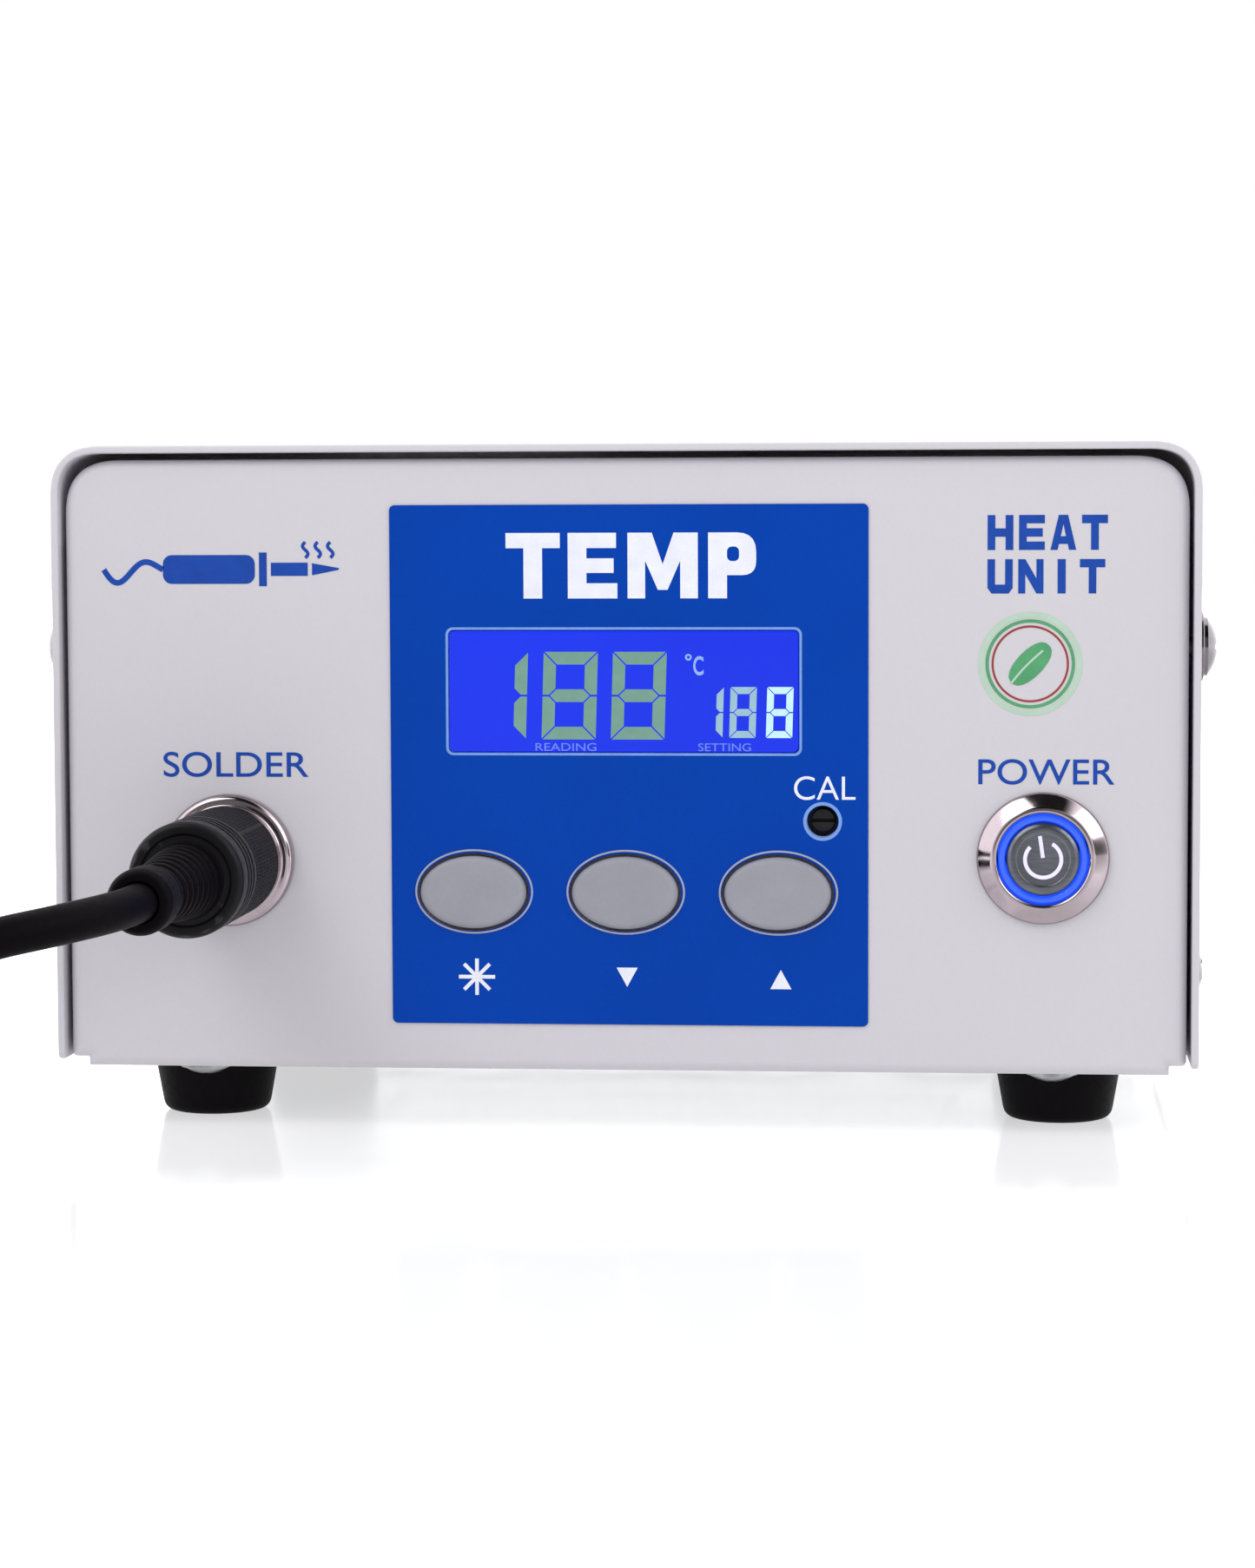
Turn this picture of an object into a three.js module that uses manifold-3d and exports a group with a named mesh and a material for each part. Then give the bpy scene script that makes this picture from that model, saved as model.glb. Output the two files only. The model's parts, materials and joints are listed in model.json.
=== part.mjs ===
// Digital soldering station: a sheet-steel case with a bent front panel, a wrap-over top cover, a
// control panel, a panel socket with its iron plugged in, a mains inlet and the parts inside.
// Units are millimetres. +X is to the right seen from the front, +Y runs from the front panel to
// the rear panel and +Z is up. The origin is the centre of the base tray's underside.
import * as THREE from "three";
import { mergeVertices } from "three/addons/utils/BufferGeometryUtils.js";
import Module from "manifold-3d";

const wasm = await Module();
wasm.setup();

// ---------------------------------------------------------------- driving dimensions

// Case
const caseWidth = 190;
const caseDepth = 156;
const coverTop = 102.5;
const coverBottom = -0.2;
const coverSheet = 1.2;
const coverCorner = 11;
const coverLip = 1.5;
const coverToPanelGap = 0.9;
const panelSheet = 1.5;
const panelFlange = 14;
const panelLowerFlange = 10.4;
const panelBend = 1.8;
const panelLowerCorner = 2.3;
const panelNotch = 2.6;
const traySheet = 1.5;
const trayWall = 18;
const trayToCoverGap = 0.4;
const trayToPanelGap = 0.5;
const beadWidth = 3;
const beadDepth = 0.5;
const restFaceWidth = 104;
const restFaceDepth = 76;
const restingGap = 0.3;

// Feet
const footHeight = 11.7;
const footTopRadius = 11.1;
const footBottomRadius = 9.2;
const footFromPanel = 22;
const footFromSide = 22.5;

// Screws
const coverScrewHead = 4.9;
const coverScrewHeadHeight = 3.2;
const coverScrewShank = 1.7;
const screwClearance = 0.4;
const coverScrewLength = 7;
const upperScrewFromTop = 31.6;
const upperScrewFromPanel = 10;
const lowerScrewHeight = 10.8;
const lowerScrewFromPanel = 46;
const baseScrewHead = 3.8;
const baseScrewHeadHeight = 1.9;
const baseScrewSpread = 71.2;
const baseScrewFromPanel = 6.5;

// Control label, window and display
const labelWidth = 79.2;
const labelMargin = 7.85;
const labelOffset = 1.3;
const labelThickness = 0.3;
const windowWidth = 58;
const windowHeight = 20.2;
const windowOffset = -0.8;
const windowAboveCentre = 12.3;
const windowThickness = 1.6;
const windowFit = 0.25;
const displayMargin = 3;
const displayThickness = 3.2;
const boardThickness = 1.6;
const boardBehindPanel = 11;
const boardMargin = 3;

// Keys
const keyWidth = 17.6;
const keyHeight = 12;
const keyClearance = 0.5;
const keySpacing = 25.3;
const keyOffset = -0.6;
const keyBelowCentre = 21.1;
const keyProud = 1.3;
const keyTravel = 1;
const keyFlange = 1.4;
const keyFlangeThickness = 1;
const keyStem = 2;
const switchSize = 6.2;
const switchHeight = 3.6;
const plungerRadius = 1.6;

// Calibration trimmer
const trimHole = 2.6;
const trimFromCentre = 32.1;
const trimBelowCentre = 9.1;
const rotorRadius = 1.9;
const rotorRecess = 2.1;
const rotorSlot = 0.6;
const trimmerSize = 7;

// Illuminated power switch
const powerFromSide = 23.4;
const powerHeight = 34.4;
const barrelRadius = 9.3;
const barrelWall = 1.75;
const barrelLength = 18;
const barrelClearance = 0.3;
const bezelOverlap = 1.6;
const bezelHeight = 2.6;
const lightRingWall = 1.15;
const capFit = 0.2;
const powerTravel = 2.5;
const nutWall = 2.2;
const nutThickness = 3;

// Iron socket and plug
const socketFromSide = 27.3;
const socketHeight = 33.6;
const socketBarrel = 7.6;
const socketWall = 1.2;
const socketFront = 9;
const socketFlangeOverlap = 1.75;
const socketFlangeThickness = 3;
const couplingWall = 1.4;
const couplingLength = 19.5;
const plugEnd = 37.3;
const bootRootRadius = 6;
const bootEndRadius = 4.5;
const bootCollarRadius = 5.1;
const bootEnd = 71.6;
const bootRibs = 8;
const plugFit = 0.3;

// Cord of the iron
const cordRadius = 3;
const cordBoreDepth = 8;
const coilCentre = new THREE.Vector2(-165, -138);
const coilInner = 31;
const coilColumns = 2;
const coilLayers = 2;
const turnGap = 0.1;
const cordSides = 10;

// Iron handpiece, lying with its tip to the rear
const ironX = -202.2;
const ironStart = -86;
const ironGuardRadius = 11;
const ironHandleRadius = 8.4;
const ironHandleLength = 105;
const ironGripLength = 42;
const ironGripWall = 1.4;
const ironBootLength = 25;
const ironNutRadius = 7;
const ironNutLength = 11;
const ironBarrelRadius = 4;
const ironBarrelLength = 42;
const ironTipRadius = 3.2;
const ironTipLength = 18;

// Mains inlet
const inletX = 48;
const inletHeightAbove = 40;
const inletWidth = 27;
const inletHeight = 31.5;
const inletFlange = 2.2;
const inletFlangeThickness = 2;
const inletDepth = 24;
const cavityWidth = 24;
const cavityHeight = 16.4;
const cavityDepth = 17;
const cavityRise = 6;
const pinSpacing = 7;
const pinRise = 4;
const pinLength = 11;
const drawerWidth = 21;
const drawerHeight = 7;
const drawerDepth = 21;
const drawerFit = 0.3;
const drawerDrop = 9.6;
const fuseRadius = 2.5;
const fuseLength = 20;

// Inside
const transformerX = 46;
const transformerY = 4;
const coreWidth = 62;
const coreDepth = 34;
const coreHeight = 52;
const coreLimb = 11;
const windingFit = 0.4;
const bracketSheet = 1.5;
const bracketFoot = 10;
const mainBoardX = -40;
const mainBoardWidth = 84;
const mainBoardDepth = 96;
const mainBoardRise = 6;
const sinkWidth = 60;
const sinkHeight = 42;
const sinkFins = 6;
const sinkFinDepth = 14;
const sinkBase = 3;
const capacitorRadius = 9;
const capacitorHeight = 30;

// ---------------------------------------------------------------- places worked out from them

const frontY = -caseDepth / 2 + coverLip;
const rearY = caseDepth / 2 - coverLip;
const panelWidth = caseWidth - 2 * (coverSheet + coverToPanelGap);
const panelTop = coverTop - coverSheet - coverToPanelGap;
const panelBottom = -panelSheet;
const panelCorner = coverCorner - coverSheet - coverToPanelGap;
const trayWidth = caseWidth - 2 * (coverSheet + trayToCoverGap);
const upperScrewHeight = panelTop - upperScrewFromTop;
const floorZ = -footHeight;
const quarterTurn = Math.PI / 2;

const labelHeight = panelTop - panelBottom - 2 * labelMargin;
const labelCentreX = labelOffset;
const labelCentreZ = (panelTop + panelBottom) / 2;
const labelFrontY = frontY - labelThickness;
const windowCentreX = labelCentreX + windowOffset;
const windowCentreZ = labelCentreZ + windowAboveCentre;
const keyCentreZ = labelCentreZ - keyBelowCentre;
const keyXs = [-1, 0, 1].map((step) => labelCentreX + keyOffset + step * keySpacing);
const keyHoleWidth = keyWidth + 2 * keyClearance;
const keyHoleHeight = keyHeight + 2 * keyClearance;
const trimCentreX = labelCentreX + trimFromCentre;
const trimCentreZ = labelCentreZ - trimBelowCentre;
const boardY = frontY + boardBehindPanel;

const powerX = panelWidth / 2 - powerFromSide;
const bezelRadius = barrelRadius + bezelOverlap;
const bezelBore = barrelRadius - barrelWall;
const lightRingRadius = bezelBore - capFit;
const capRadius = lightRingRadius - lightRingWall - capFit;

const socketX = -panelWidth / 2 + socketFromSide;
const socketBore = socketBarrel - socketWall;
const couplingRadius = socketBarrel + plugFit + couplingWall;
const socketFlangeRadius = couplingRadius + socketFlangeOverlap;
const coilOuter = coilInner + (coilColumns - 1) * (2 * cordRadius + turnGap);

// ---------------------------------------------------------------- geometry helpers

// Turns a closed mesh inside out if its faces point inwards.
function facingOut(geometry) {
  const plain = geometry.index ? geometry.toNonIndexed() : geometry;
  const p = plain.attributes.position;
  const [a, b, c] = [new THREE.Vector3(), new THREE.Vector3(), new THREE.Vector3()];
  let volume = 0;
  for (let i = 0; i < p.count; i += 3) {
    a.fromBufferAttribute(p, i);
    b.fromBufferAttribute(p, i + 1);
    c.fromBufferAttribute(p, i + 2);
    volume += a.dot(b.cross(c));
  }
  if (volume > 0) {
    return plain;
  }
  for (let i = 0; i < p.count; i += 3) {
    b.fromBufferAttribute(p, i + 1);
    c.fromBufferAttribute(p, i + 2);
    p.setXYZ(i + 1, c.x, c.y, c.z);
    p.setXYZ(i + 2, b.x, b.y, b.z);
  }
  return plain;
}

function toSolid(geometry) {
  const bare = facingOut(geometry);
  for (const name of Object.keys(bare.attributes)) {
    if (name !== "position") {
      bare.deleteAttribute(name);
    }
  }
  const merged = mergeVertices(bare, 1e-4);
  const vertProperties = new Float32Array(merged.attributes.position.array);
  const triVerts = new Uint32Array(merged.index.array);
  return new wasm.Manifold(new wasm.Mesh({ numProp: 3, vertProperties, triVerts }));
}

function toGeometry(solid) {
  const mesh = solid.getMesh();
  const geometry = new THREE.BufferGeometry();
  geometry.setAttribute("position", new THREE.BufferAttribute(new Float32Array(mesh.vertProperties), 3));
  geometry.setIndex(new THREE.BufferAttribute(new Uint32Array(mesh.triVerts), 1));
  geometry.computeVertexNormals();
  return geometry;
}

function cut(base, ...tools) {
  return toGeometry(tools.reduce((solid, tool) => solid.subtract(toSolid(tool)), toSolid(base)));
}

function join(...pieces) {
  return toGeometry(pieces.map(toSolid).reduce((sum, piece) => sum.add(piece)));
}

function spanAbout(centre, size) {
  return [centre - size / 2, centre + size / 2];
}

// A box between two corners.
function block([x0, y0, z0], [x1, y1, z1]) {
  const geometry = new THREE.BoxGeometry(x1 - x0, y1 - y0, z1 - z0);
  return geometry.translate((x0 + x1) / 2, (y0 + y1) / 2, (z0 + z1) / 2);
}

// A rectangle in X and Z with the given radii at its lower and upper corners.
function panelShape(x0, x1, z0, z1, lower, upper) {
  const shape = new THREE.Shape();
  shape.moveTo(x0 + lower, z0);
  shape.lineTo(x1 - lower, z0);
  if (lower > 0) {
    shape.absarc(x1 - lower, z0 + lower, lower, -quarterTurn, 0, false);
  }
  shape.lineTo(x1, z1 - upper);
  if (upper > 0) {
    shape.absarc(x1 - upper, z1 - upper, upper, 0, quarterTurn, false);
  }
  shape.lineTo(x0 + upper, z1);
  if (upper > 0) {
    shape.absarc(x0 + upper, z1 - upper, upper, quarterTurn, Math.PI, false);
  }
  shape.lineTo(x0, z0 + lower);
  if (lower > 0) {
    shape.absarc(x0 + lower, z0 + lower, lower, Math.PI, Math.PI + quarterTurn, false);
  }
  shape.closePath();
  return shape;
}

function ovalShape(x, z, width, height) {
  const shape = new THREE.Shape();
  shape.absellipse(x, z, width / 2, height / 2, 0, 2 * Math.PI, false, 0);
  return shape;
}

// A flat shape in X and Z, given thickness from y0 to y1.
function plate(shape, y0, y1, curveSegments = 7) {
  const geometry = new THREE.ExtrudeGeometry(shape, { depth: y1 - y0, bevelEnabled: false, curveSegments });
  return geometry.rotateX(quarterTurn).translate(0, y1, 0);
}

// The same, with its front edge (towards -Y) rounded by the given radius.
function roundedPlate(shape, y0, y1, radius, curveSegments = 7, bevelSegments = 2) {
  const geometry = new THREE.ExtrudeGeometry(shape, {
    depth: y1 - y0,
    bevelEnabled: true,
    bevelThickness: radius,
    bevelSize: radius,
    bevelOffset: -radius,
    bevelSegments,
    curveSegments,
  });
  geometry.rotateX(quarterTurn).translate(0, y1, 0);
  geometry.translate(0, radius, 0);
  geometry.computeBoundingBox();
  const { min, max } = geometry.boundingBox;
  const beyond = block([min.x - 1, y1, min.z - 1], [max.x + 1, max.y + 1, max.z + 1]);
  return cut(geometry, beyond);
}

// A profile of [radius, distance] points turned about the Y axis, closed on itself or on the axis.
function turned(profile, segments = 20) {
  const first = profile[0];
  const last = profile[profile.length - 1];
  const closed = first[0] === 0 && last[0] === 0 ? profile : [...profile, first];
  return new THREE.LatheGeometry(closed.map(([r, y]) => new THREE.Vector2(r, y)), segments);
}

// A rod or hole along Y.
function rod(radius, y0, y1, segments = 20) {
  return turned([[0, y0], [radius, y0], [radius, y1], [0, y1]], segments);
}

function hexRod(acrossFlats, y0, y1) {
  return rod(acrossFlats / Math.sqrt(3), y0, y1, 6);
}

// ---------------------------------------------------------------- the assembly

const assembly = new THREE.Group();

function add(name, geometry, [color, roughness, metalness], parent = assembly) {
  const material = new THREE.MeshStandardMaterial({ color, roughness, metalness });
  const mesh = new THREE.Mesh(facingOut(geometry), material);
  mesh.name = name;
  parent.add(mesh);
  return mesh;
}

// A group whose own origin stands at the given place.
function groupAt(x, y, z) {
  const group = new THREE.Group();
  group.position.set(x, y, z);
  assembly.add(group);
  return group;
}

const lightPaint = [0xd3d0d7, 0.5, 0.1];
const chrome = [0xd8d8dc, 0.15, 1];
const blackPlastic = [0x141318, 0.5, 0];
const blackRubber = [0x110b11, 0.8, 0];
const zincSteel = [0xb4b6b8, 0.4, 0.9];
const greenBoard = [0x1d5c36, 0.5, 0];

// ---------------------------------------------------------------- case

// One bent sheet panel: a face with rounded edges, flanges all round and relief notches at the
// lower corners. It is made facing the front and turned for the rear.
function bentPanel(holes) {
  const half = panelWidth / 2;
  const wall = panelSheet;
  const outer = panelShape(-half, half, panelBottom, panelTop, panelLowerCorner, panelCorner);
  const inner = panelShape(
    -half + wall, half - wall, panelBottom + wall, panelTop - wall, panelLowerCorner - wall, panelCorner - wall,
  );
  const shell = roundedPlate(outer, frontY, frontY + panelFlange, panelBend, 4, 2);
  const hollow = plate(inner, frontY + wall, frontY + panelFlange + 1, 4);
  const notches = [-1, 1].map((side) => {
    const x = side * (half - panelNotch / 2);
    return block(
      [x - panelNotch / 2 - 0.01, frontY - 1, panelBottom - 1],
      [x + panelNotch / 2 + 0.01, frontY + panelFlange + 1, panelBottom + wall],
    );
  });
  // The lower flange is shorter than the others, to clear the feet.
  const lowerFlangeEnd = block(
    [-half - 1, frontY + panelLowerFlange, panelBottom - 1], [half + 1, frontY + panelFlange + 1, panelBottom + wall],
  );
  return cut(shell, hollow, lowerFlangeEnd, ...notches, ...holes);
}

// A hole along X through one side of the case.
function sideHole(side, y, z) {
  const hole = rod(coverScrewShank + screwClearance, 0, 12, 12);
  return hole.rotateZ(-side * quarterTurn).translate(side * (caseWidth / 2 - 10), y, z);
}

const baseScrewY = frontY + baseScrewFromPanel;
const baseScrewHole = (x) => {
  const hole = rod(coverScrewShank + screwClearance, -3, 5, 12);
  return hole.rotateX(quarterTurn).translate(x, baseScrewY, 0);
};
const frontHoles = [
  plate(panelShape(...spanAbout(windowCentreX, windowWidth), ...spanAbout(windowCentreZ, windowHeight), 1, 1),
    frontY - 1, frontY + 3, 2),
  ...keyXs.map((x) => plate(ovalShape(x, keyCentreZ, keyHoleWidth, keyHoleHeight), frontY - 1, frontY + 3, 9)),
  rod(trimHole, -1, 3, 16).translate(trimCentreX, frontY, trimCentreZ),
  rod(barrelRadius + barrelClearance, -1, 3).translate(powerX, frontY, powerHeight),
  rod(socketBarrel + barrelClearance, -1, 3).translate(socketX, frontY, socketHeight),
  ...[-1, 1].map((side) => sideHole(side, frontY + upperScrewFromPanel, upperScrewHeight)),
  ...[-1, 1].map((side) => baseScrewHole(side * baseScrewSpread)),
];

add("front_panel", bentPanel(frontHoles), lightPaint);

// The rear panel is the same pressing with its own holes, made as if it faced the front.
const ventRows = 5;
const ventPitch = 7;
const ventWidth = 2.6;
const ventLength = 46;
const ventX = 45;
const ventZ = 58;
const rearHoles = [
  plate(
    panelShape(...spanAbout(-inletX, inletWidth), ...spanAbout(inletHeightAbove, inletHeight), 0, 0),
    frontY - 1, frontY + 3,
  ),
  ...Array.from({ length: ventRows }, (_, row) => {
    const z = ventZ - row * ventPitch;
    const slot = panelShape(...spanAbout(ventX, ventLength), z, z + ventWidth, ventWidth / 2, ventWidth / 2);
    return plate(slot, frontY - 1, frontY + 3, 3);
  }),
  ...[-1, 1].map((side) => sideHole(side, frontY + upperScrewFromPanel, upperScrewHeight)),
];
add("rear_panel", bentPanel(rearHoles).rotateZ(Math.PI), lightPaint);

// Base tray: a sheet with its two long edges bent up.
const trayFront = frontY + panelSheet + trayToPanelGap;
const trayRear = rearY - panelSheet - trayToPanelGap;
const lowerScrewYs = [frontY + lowerScrewFromPanel];
{
  const half = trayWidth / 2;
  const panelHalf = panelWidth / 2;
  const outside = panelShape(-half, half, 0, trayWall, 0, 0);
  const inside = panelShape(-half + traySheet, half - traySheet, traySheet, trayWall + 1, 0, 0);
  // The walls stop short of the panels' flanges, and the floor is narrowed to pass between them.
  const flangeRoom = panelFlange - panelSheet - trayToPanelGap + restingGap;
  const corners = [-1, 1].flatMap((side) => [
    [trayFront - 1, trayFront + flangeRoom],
    [trayRear - flangeRoom, trayRear + 1],
  ].map(([y0, y1]) => {
    const x0 = side > 0 ? panelHalf - panelLowerCorner - restingGap : -half - 1;
    const x1 = side > 0 ? half + 1 : -panelHalf + panelLowerCorner + restingGap;
    return block([x0, y0, -1], [x1, y1, trayWall + 1]);
  }));
  const holes = [
    ...[-1, 1].map((side) => baseScrewHole(side * baseScrewSpread)),
    ...lowerScrewYs.flatMap((y) => [-1, 1].map((side) => sideHole(side, y, lowerScrewHeight))),
  ];
  // A coined groove stiffens the floor and frames the flat face in the middle of its underside.
  const [faceHalfWidth, faceHalfDepth] = [restFaceWidth / 2, restFaceDepth / 2];
  const beads = [-1, 1].flatMap((end) => [
    block(
      [-faceHalfWidth - beadWidth, end * (faceHalfDepth + beadWidth / 2) - beadWidth / 2, -1],
      [faceHalfWidth + beadWidth, end * (faceHalfDepth + beadWidth / 2) + beadWidth / 2, beadDepth],
    ),
    block(
      [end * (faceHalfWidth + beadWidth / 2) - beadWidth / 2, -faceHalfDepth - beadWidth / 2, -1],
      [end * (faceHalfWidth + beadWidth / 2) + beadWidth / 2, faceHalfDepth + beadWidth / 2, beadDepth],
    ),
  ]);
  const tray = cut(plate(outside, trayFront, trayRear), plate(inside, trayFront - 1, trayRear + 1), ...corners);
  add("base_tray", cut(tray, ...beads, ...holes), zincSteel);
}

// Top cover: one sheet wrapped over the top and down both sides, open below and at both ends.
const sideVentCount = 7;
const sideVentPitch = 8;
const sideVentHeight = 30;
const sideVentFromRear = 18;
const sideVentZ = 58;
{
  const half = caseWidth / 2;
  const outside = panelShape(-half, half, coverBottom, coverTop, 0, coverCorner);
  const inside = panelShape(
    -half + coverSheet, half - coverSheet, coverBottom - 1, coverTop - coverSheet, 0, coverCorner - coverSheet,
  );
  const vents = Array.from({ length: sideVentCount }, (_, i) => {
    const y = rearY - sideVentFromRear - ventWidth - i * sideVentPitch;
    return block(
      [-half - 5, y, sideVentZ - sideVentHeight / 2],
      [half + 5, y + ventWidth, sideVentZ + sideVentHeight / 2],
    );
  });
  const screwYs = [
    [frontY + upperScrewFromPanel, upperScrewHeight],
    [rearY - upperScrewFromPanel, upperScrewHeight],
    ...lowerScrewYs.map((y) => [y, lowerScrewHeight]),
  ];
  const holes = screwYs.flatMap(([y, z]) => [-1, 1].map((side) => sideHole(side, y, z)));
  const cover = cut(plate(outside, -caseDepth / 2, caseDepth / 2, 7),
    plate(inside, -caseDepth / 2 - 1, caseDepth / 2 + 1, 7), ...vents, ...holes);
  add("top_cover", cover, lightPaint);
}

// Rubber feet with a recess for their screws.
for (const [row, y] of [["front", frontY + footFromPanel], ["rear", rearY - footFromPanel]]) {
  for (const [side, x] of [["left", -1], ["right", 1]]) {
    const foot = turned([
      [0, -footHeight + 5], [4, -footHeight + 5], [4, -footHeight], [footBottomRadius - 1.8, -footHeight],
      [footBottomRadius, -footHeight + 1.6], [footTopRadius, 0], [0, 0],
    ]).rotateX(quarterTurn);
    foot.translate(x * (caseWidth / 2 - footFromSide), y, 0);
    add(`foot_${row}_${side}`, foot, blackRubber);
  }
}

// Domed cover screws, made pointing along Y with the head's seat at zero.
function screw(headRadius, headHeight, shankRadius, length, segments) {
  return turned([
    [0, -headHeight], [headRadius * 0.62, -headHeight * 0.86], [headRadius, -headHeight * 0.3], [headRadius, 0],
    [shankRadius, 0], [shankRadius, length], [0, length],
  ], segments);
}

const coverScrews = [
  ["upper_front", frontY + upperScrewFromPanel, upperScrewHeight],
  ["lower", lowerScrewYs[0], lowerScrewHeight],
  ["upper_rear", rearY - upperScrewFromPanel, upperScrewHeight],
];
for (const [place, y, z] of coverScrews) {
  for (const [side, x] of [["left", -1], ["right", 1]]) {
    const shape = screw(coverScrewHead, coverScrewHeadHeight, coverScrewShank, coverScrewLength, 12);
    shape.rotateZ(x * quarterTurn).translate(x * caseWidth / 2, y, z);
    add(`cover_screw_${place}_${side}`, shape, chrome);
  }
}
for (const [side, x] of [["left", -1], ["right", 1]]) {
  const shape = screw(baseScrewHead, baseScrewHeadHeight, coverScrewShank, 6, 12);
  shape.rotateX(quarterTurn).translate(x * baseScrewSpread, baseScrewY, panelBottom);
  add(`base_screw_${side}`, shape, zincSteel);
}

// ---------------------------------------------------------------- control panel

{
  const sheet = panelShape(
    ...spanAbout(labelCentreX, labelWidth), ...spanAbout(labelCentreZ, labelHeight), 0.6, 0.6,
  );
  const openings = [
    plate(panelShape(...spanAbout(windowCentreX, windowWidth), ...spanAbout(windowCentreZ, windowHeight), 1, 1),
      labelFrontY - 1, frontY + 1, 2),
    ...keyXs.map((x) => plate(ovalShape(x, keyCentreZ, keyHoleWidth, keyHoleHeight), labelFrontY - 1, frontY + 1, 9)),
    rod(trimHole, -1, 1, 16).translate(trimCentreX, frontY, trimCentreZ),
  ];
  add("control_label", cut(plate(sheet, labelFrontY, frontY, 2), ...openings), [0x0f48aa, 0.35, 0]);
}

const windowPane = panelShape(
  ...spanAbout(windowCentreX, windowWidth - 2 * windowFit),
  ...spanAbout(windowCentreZ, windowHeight - 2 * windowFit), 1 - windowFit, 1 - windowFit,
);
const windowBackY = labelFrontY + windowThickness;
add("display_window", plate(windowPane, labelFrontY, windowBackY, 2), [0x2842f4, 0.1, 0]);

const displayFrontY = Math.max(windowBackY, frontY + panelSheet) + restingGap;
const displayBackY = displayFrontY + displayThickness;
const displayModule = join(
  block(
    [windowCentreX - windowWidth / 2 - displayMargin, displayFrontY, windowCentreZ - windowHeight / 2 - displayMargin],
    [windowCentreX + windowWidth / 2 + displayMargin, displayBackY, windowCentreZ + windowHeight / 2 + displayMargin],
  ),
  // A backlight block that reaches back to the board.
  block(
    [windowCentreX - windowWidth / 2 + displayMargin, displayBackY - 0.5, windowCentreZ - windowHeight / 2],
    [windowCentreX + windowWidth / 2 - displayMargin, boardY, windowCentreZ + windowHeight / 2],
  ),
);
add("display_module", displayModule, [0x2a3cc8, 0.3, 0]);

add("control_board", block(
  [labelCentreX - labelWidth / 2 + boardMargin, boardY, labelCentreZ - labelHeight / 2 + boardMargin],
  [labelCentreX + labelWidth / 2 - boardMargin, boardY + boardThickness, labelCentreZ + labelHeight / 2 - boardMargin],
), greenBoard);

// Each key is an oval cap through the panel, a flange behind it and a stem to its switch.
const switchFrontY = boardY - switchHeight;
const plungerFrontY = switchFrontY - 0.8;
const keyNames = ["set", "down", "up"];
keyXs.forEach((x, i) => {
  const flangeFront = frontY + panelSheet + restingGap;
  const cap = roundedPlate(
    ovalShape(x, keyCentreZ, keyWidth, keyHeight), labelFrontY - keyProud, flangeFront + 0.2, 0.8, 9, 2,
  );
  const flange = plate(
    ovalShape(x, keyCentreZ, keyHoleWidth + 2 * keyFlange, keyHoleHeight + 2 * keyFlange),
    flangeFront, flangeFront + keyFlangeThickness, 9,
  );
  const stem = rod(keyStem, 0, plungerFrontY - keyTravel - 0.15 - flangeFront, 12);
  stem.translate(x, flangeFront, keyCentreZ);
  add(`${keyNames[i]}_key`, join(cap, flange, stem), [0x9b9aa6, 0.45, 0]);

  const half = switchSize / 2;
  const body = block([x - half, switchFrontY, keyCentreZ - half], [x + half, boardY, keyCentreZ + half]);
  const plunger = rod(plungerRadius, plungerFrontY, switchFrontY + 0.5, 12).translate(x, 0, keyCentreZ);
  add(`${keyNames[i]}_key_switch`, join(body, plunger), blackPlastic);
});

// Calibration trimmer: a slotted rotor in front of its body on the board.
{
  const rotorFront = frontY + rotorRecess;
  const bodyFront = boardY - 5;
  const rotor = cut(
    rod(rotorRadius, rotorFront, bodyFront - 0.2, 20),
    block([-rotorRadius - 1, rotorFront - 1, -rotorSlot / 2], [rotorRadius + 1, rotorFront + 0.8, rotorSlot / 2]),
  );
  add("cal_trimmer_rotor", rotor.translate(trimCentreX, 0, trimCentreZ), [0x1a1a1d, 0.5, 0]);
  const half = trimmerSize / 2;
  add("cal_trimmer_body", block(
    [trimCentreX - half, bodyFront, trimCentreZ - half], [trimCentreX + half, boardY, trimCentreZ + half],
  ), [0x2456a8, 0.5, 0]);
}

// ---------------------------------------------------------------- power switch

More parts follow.
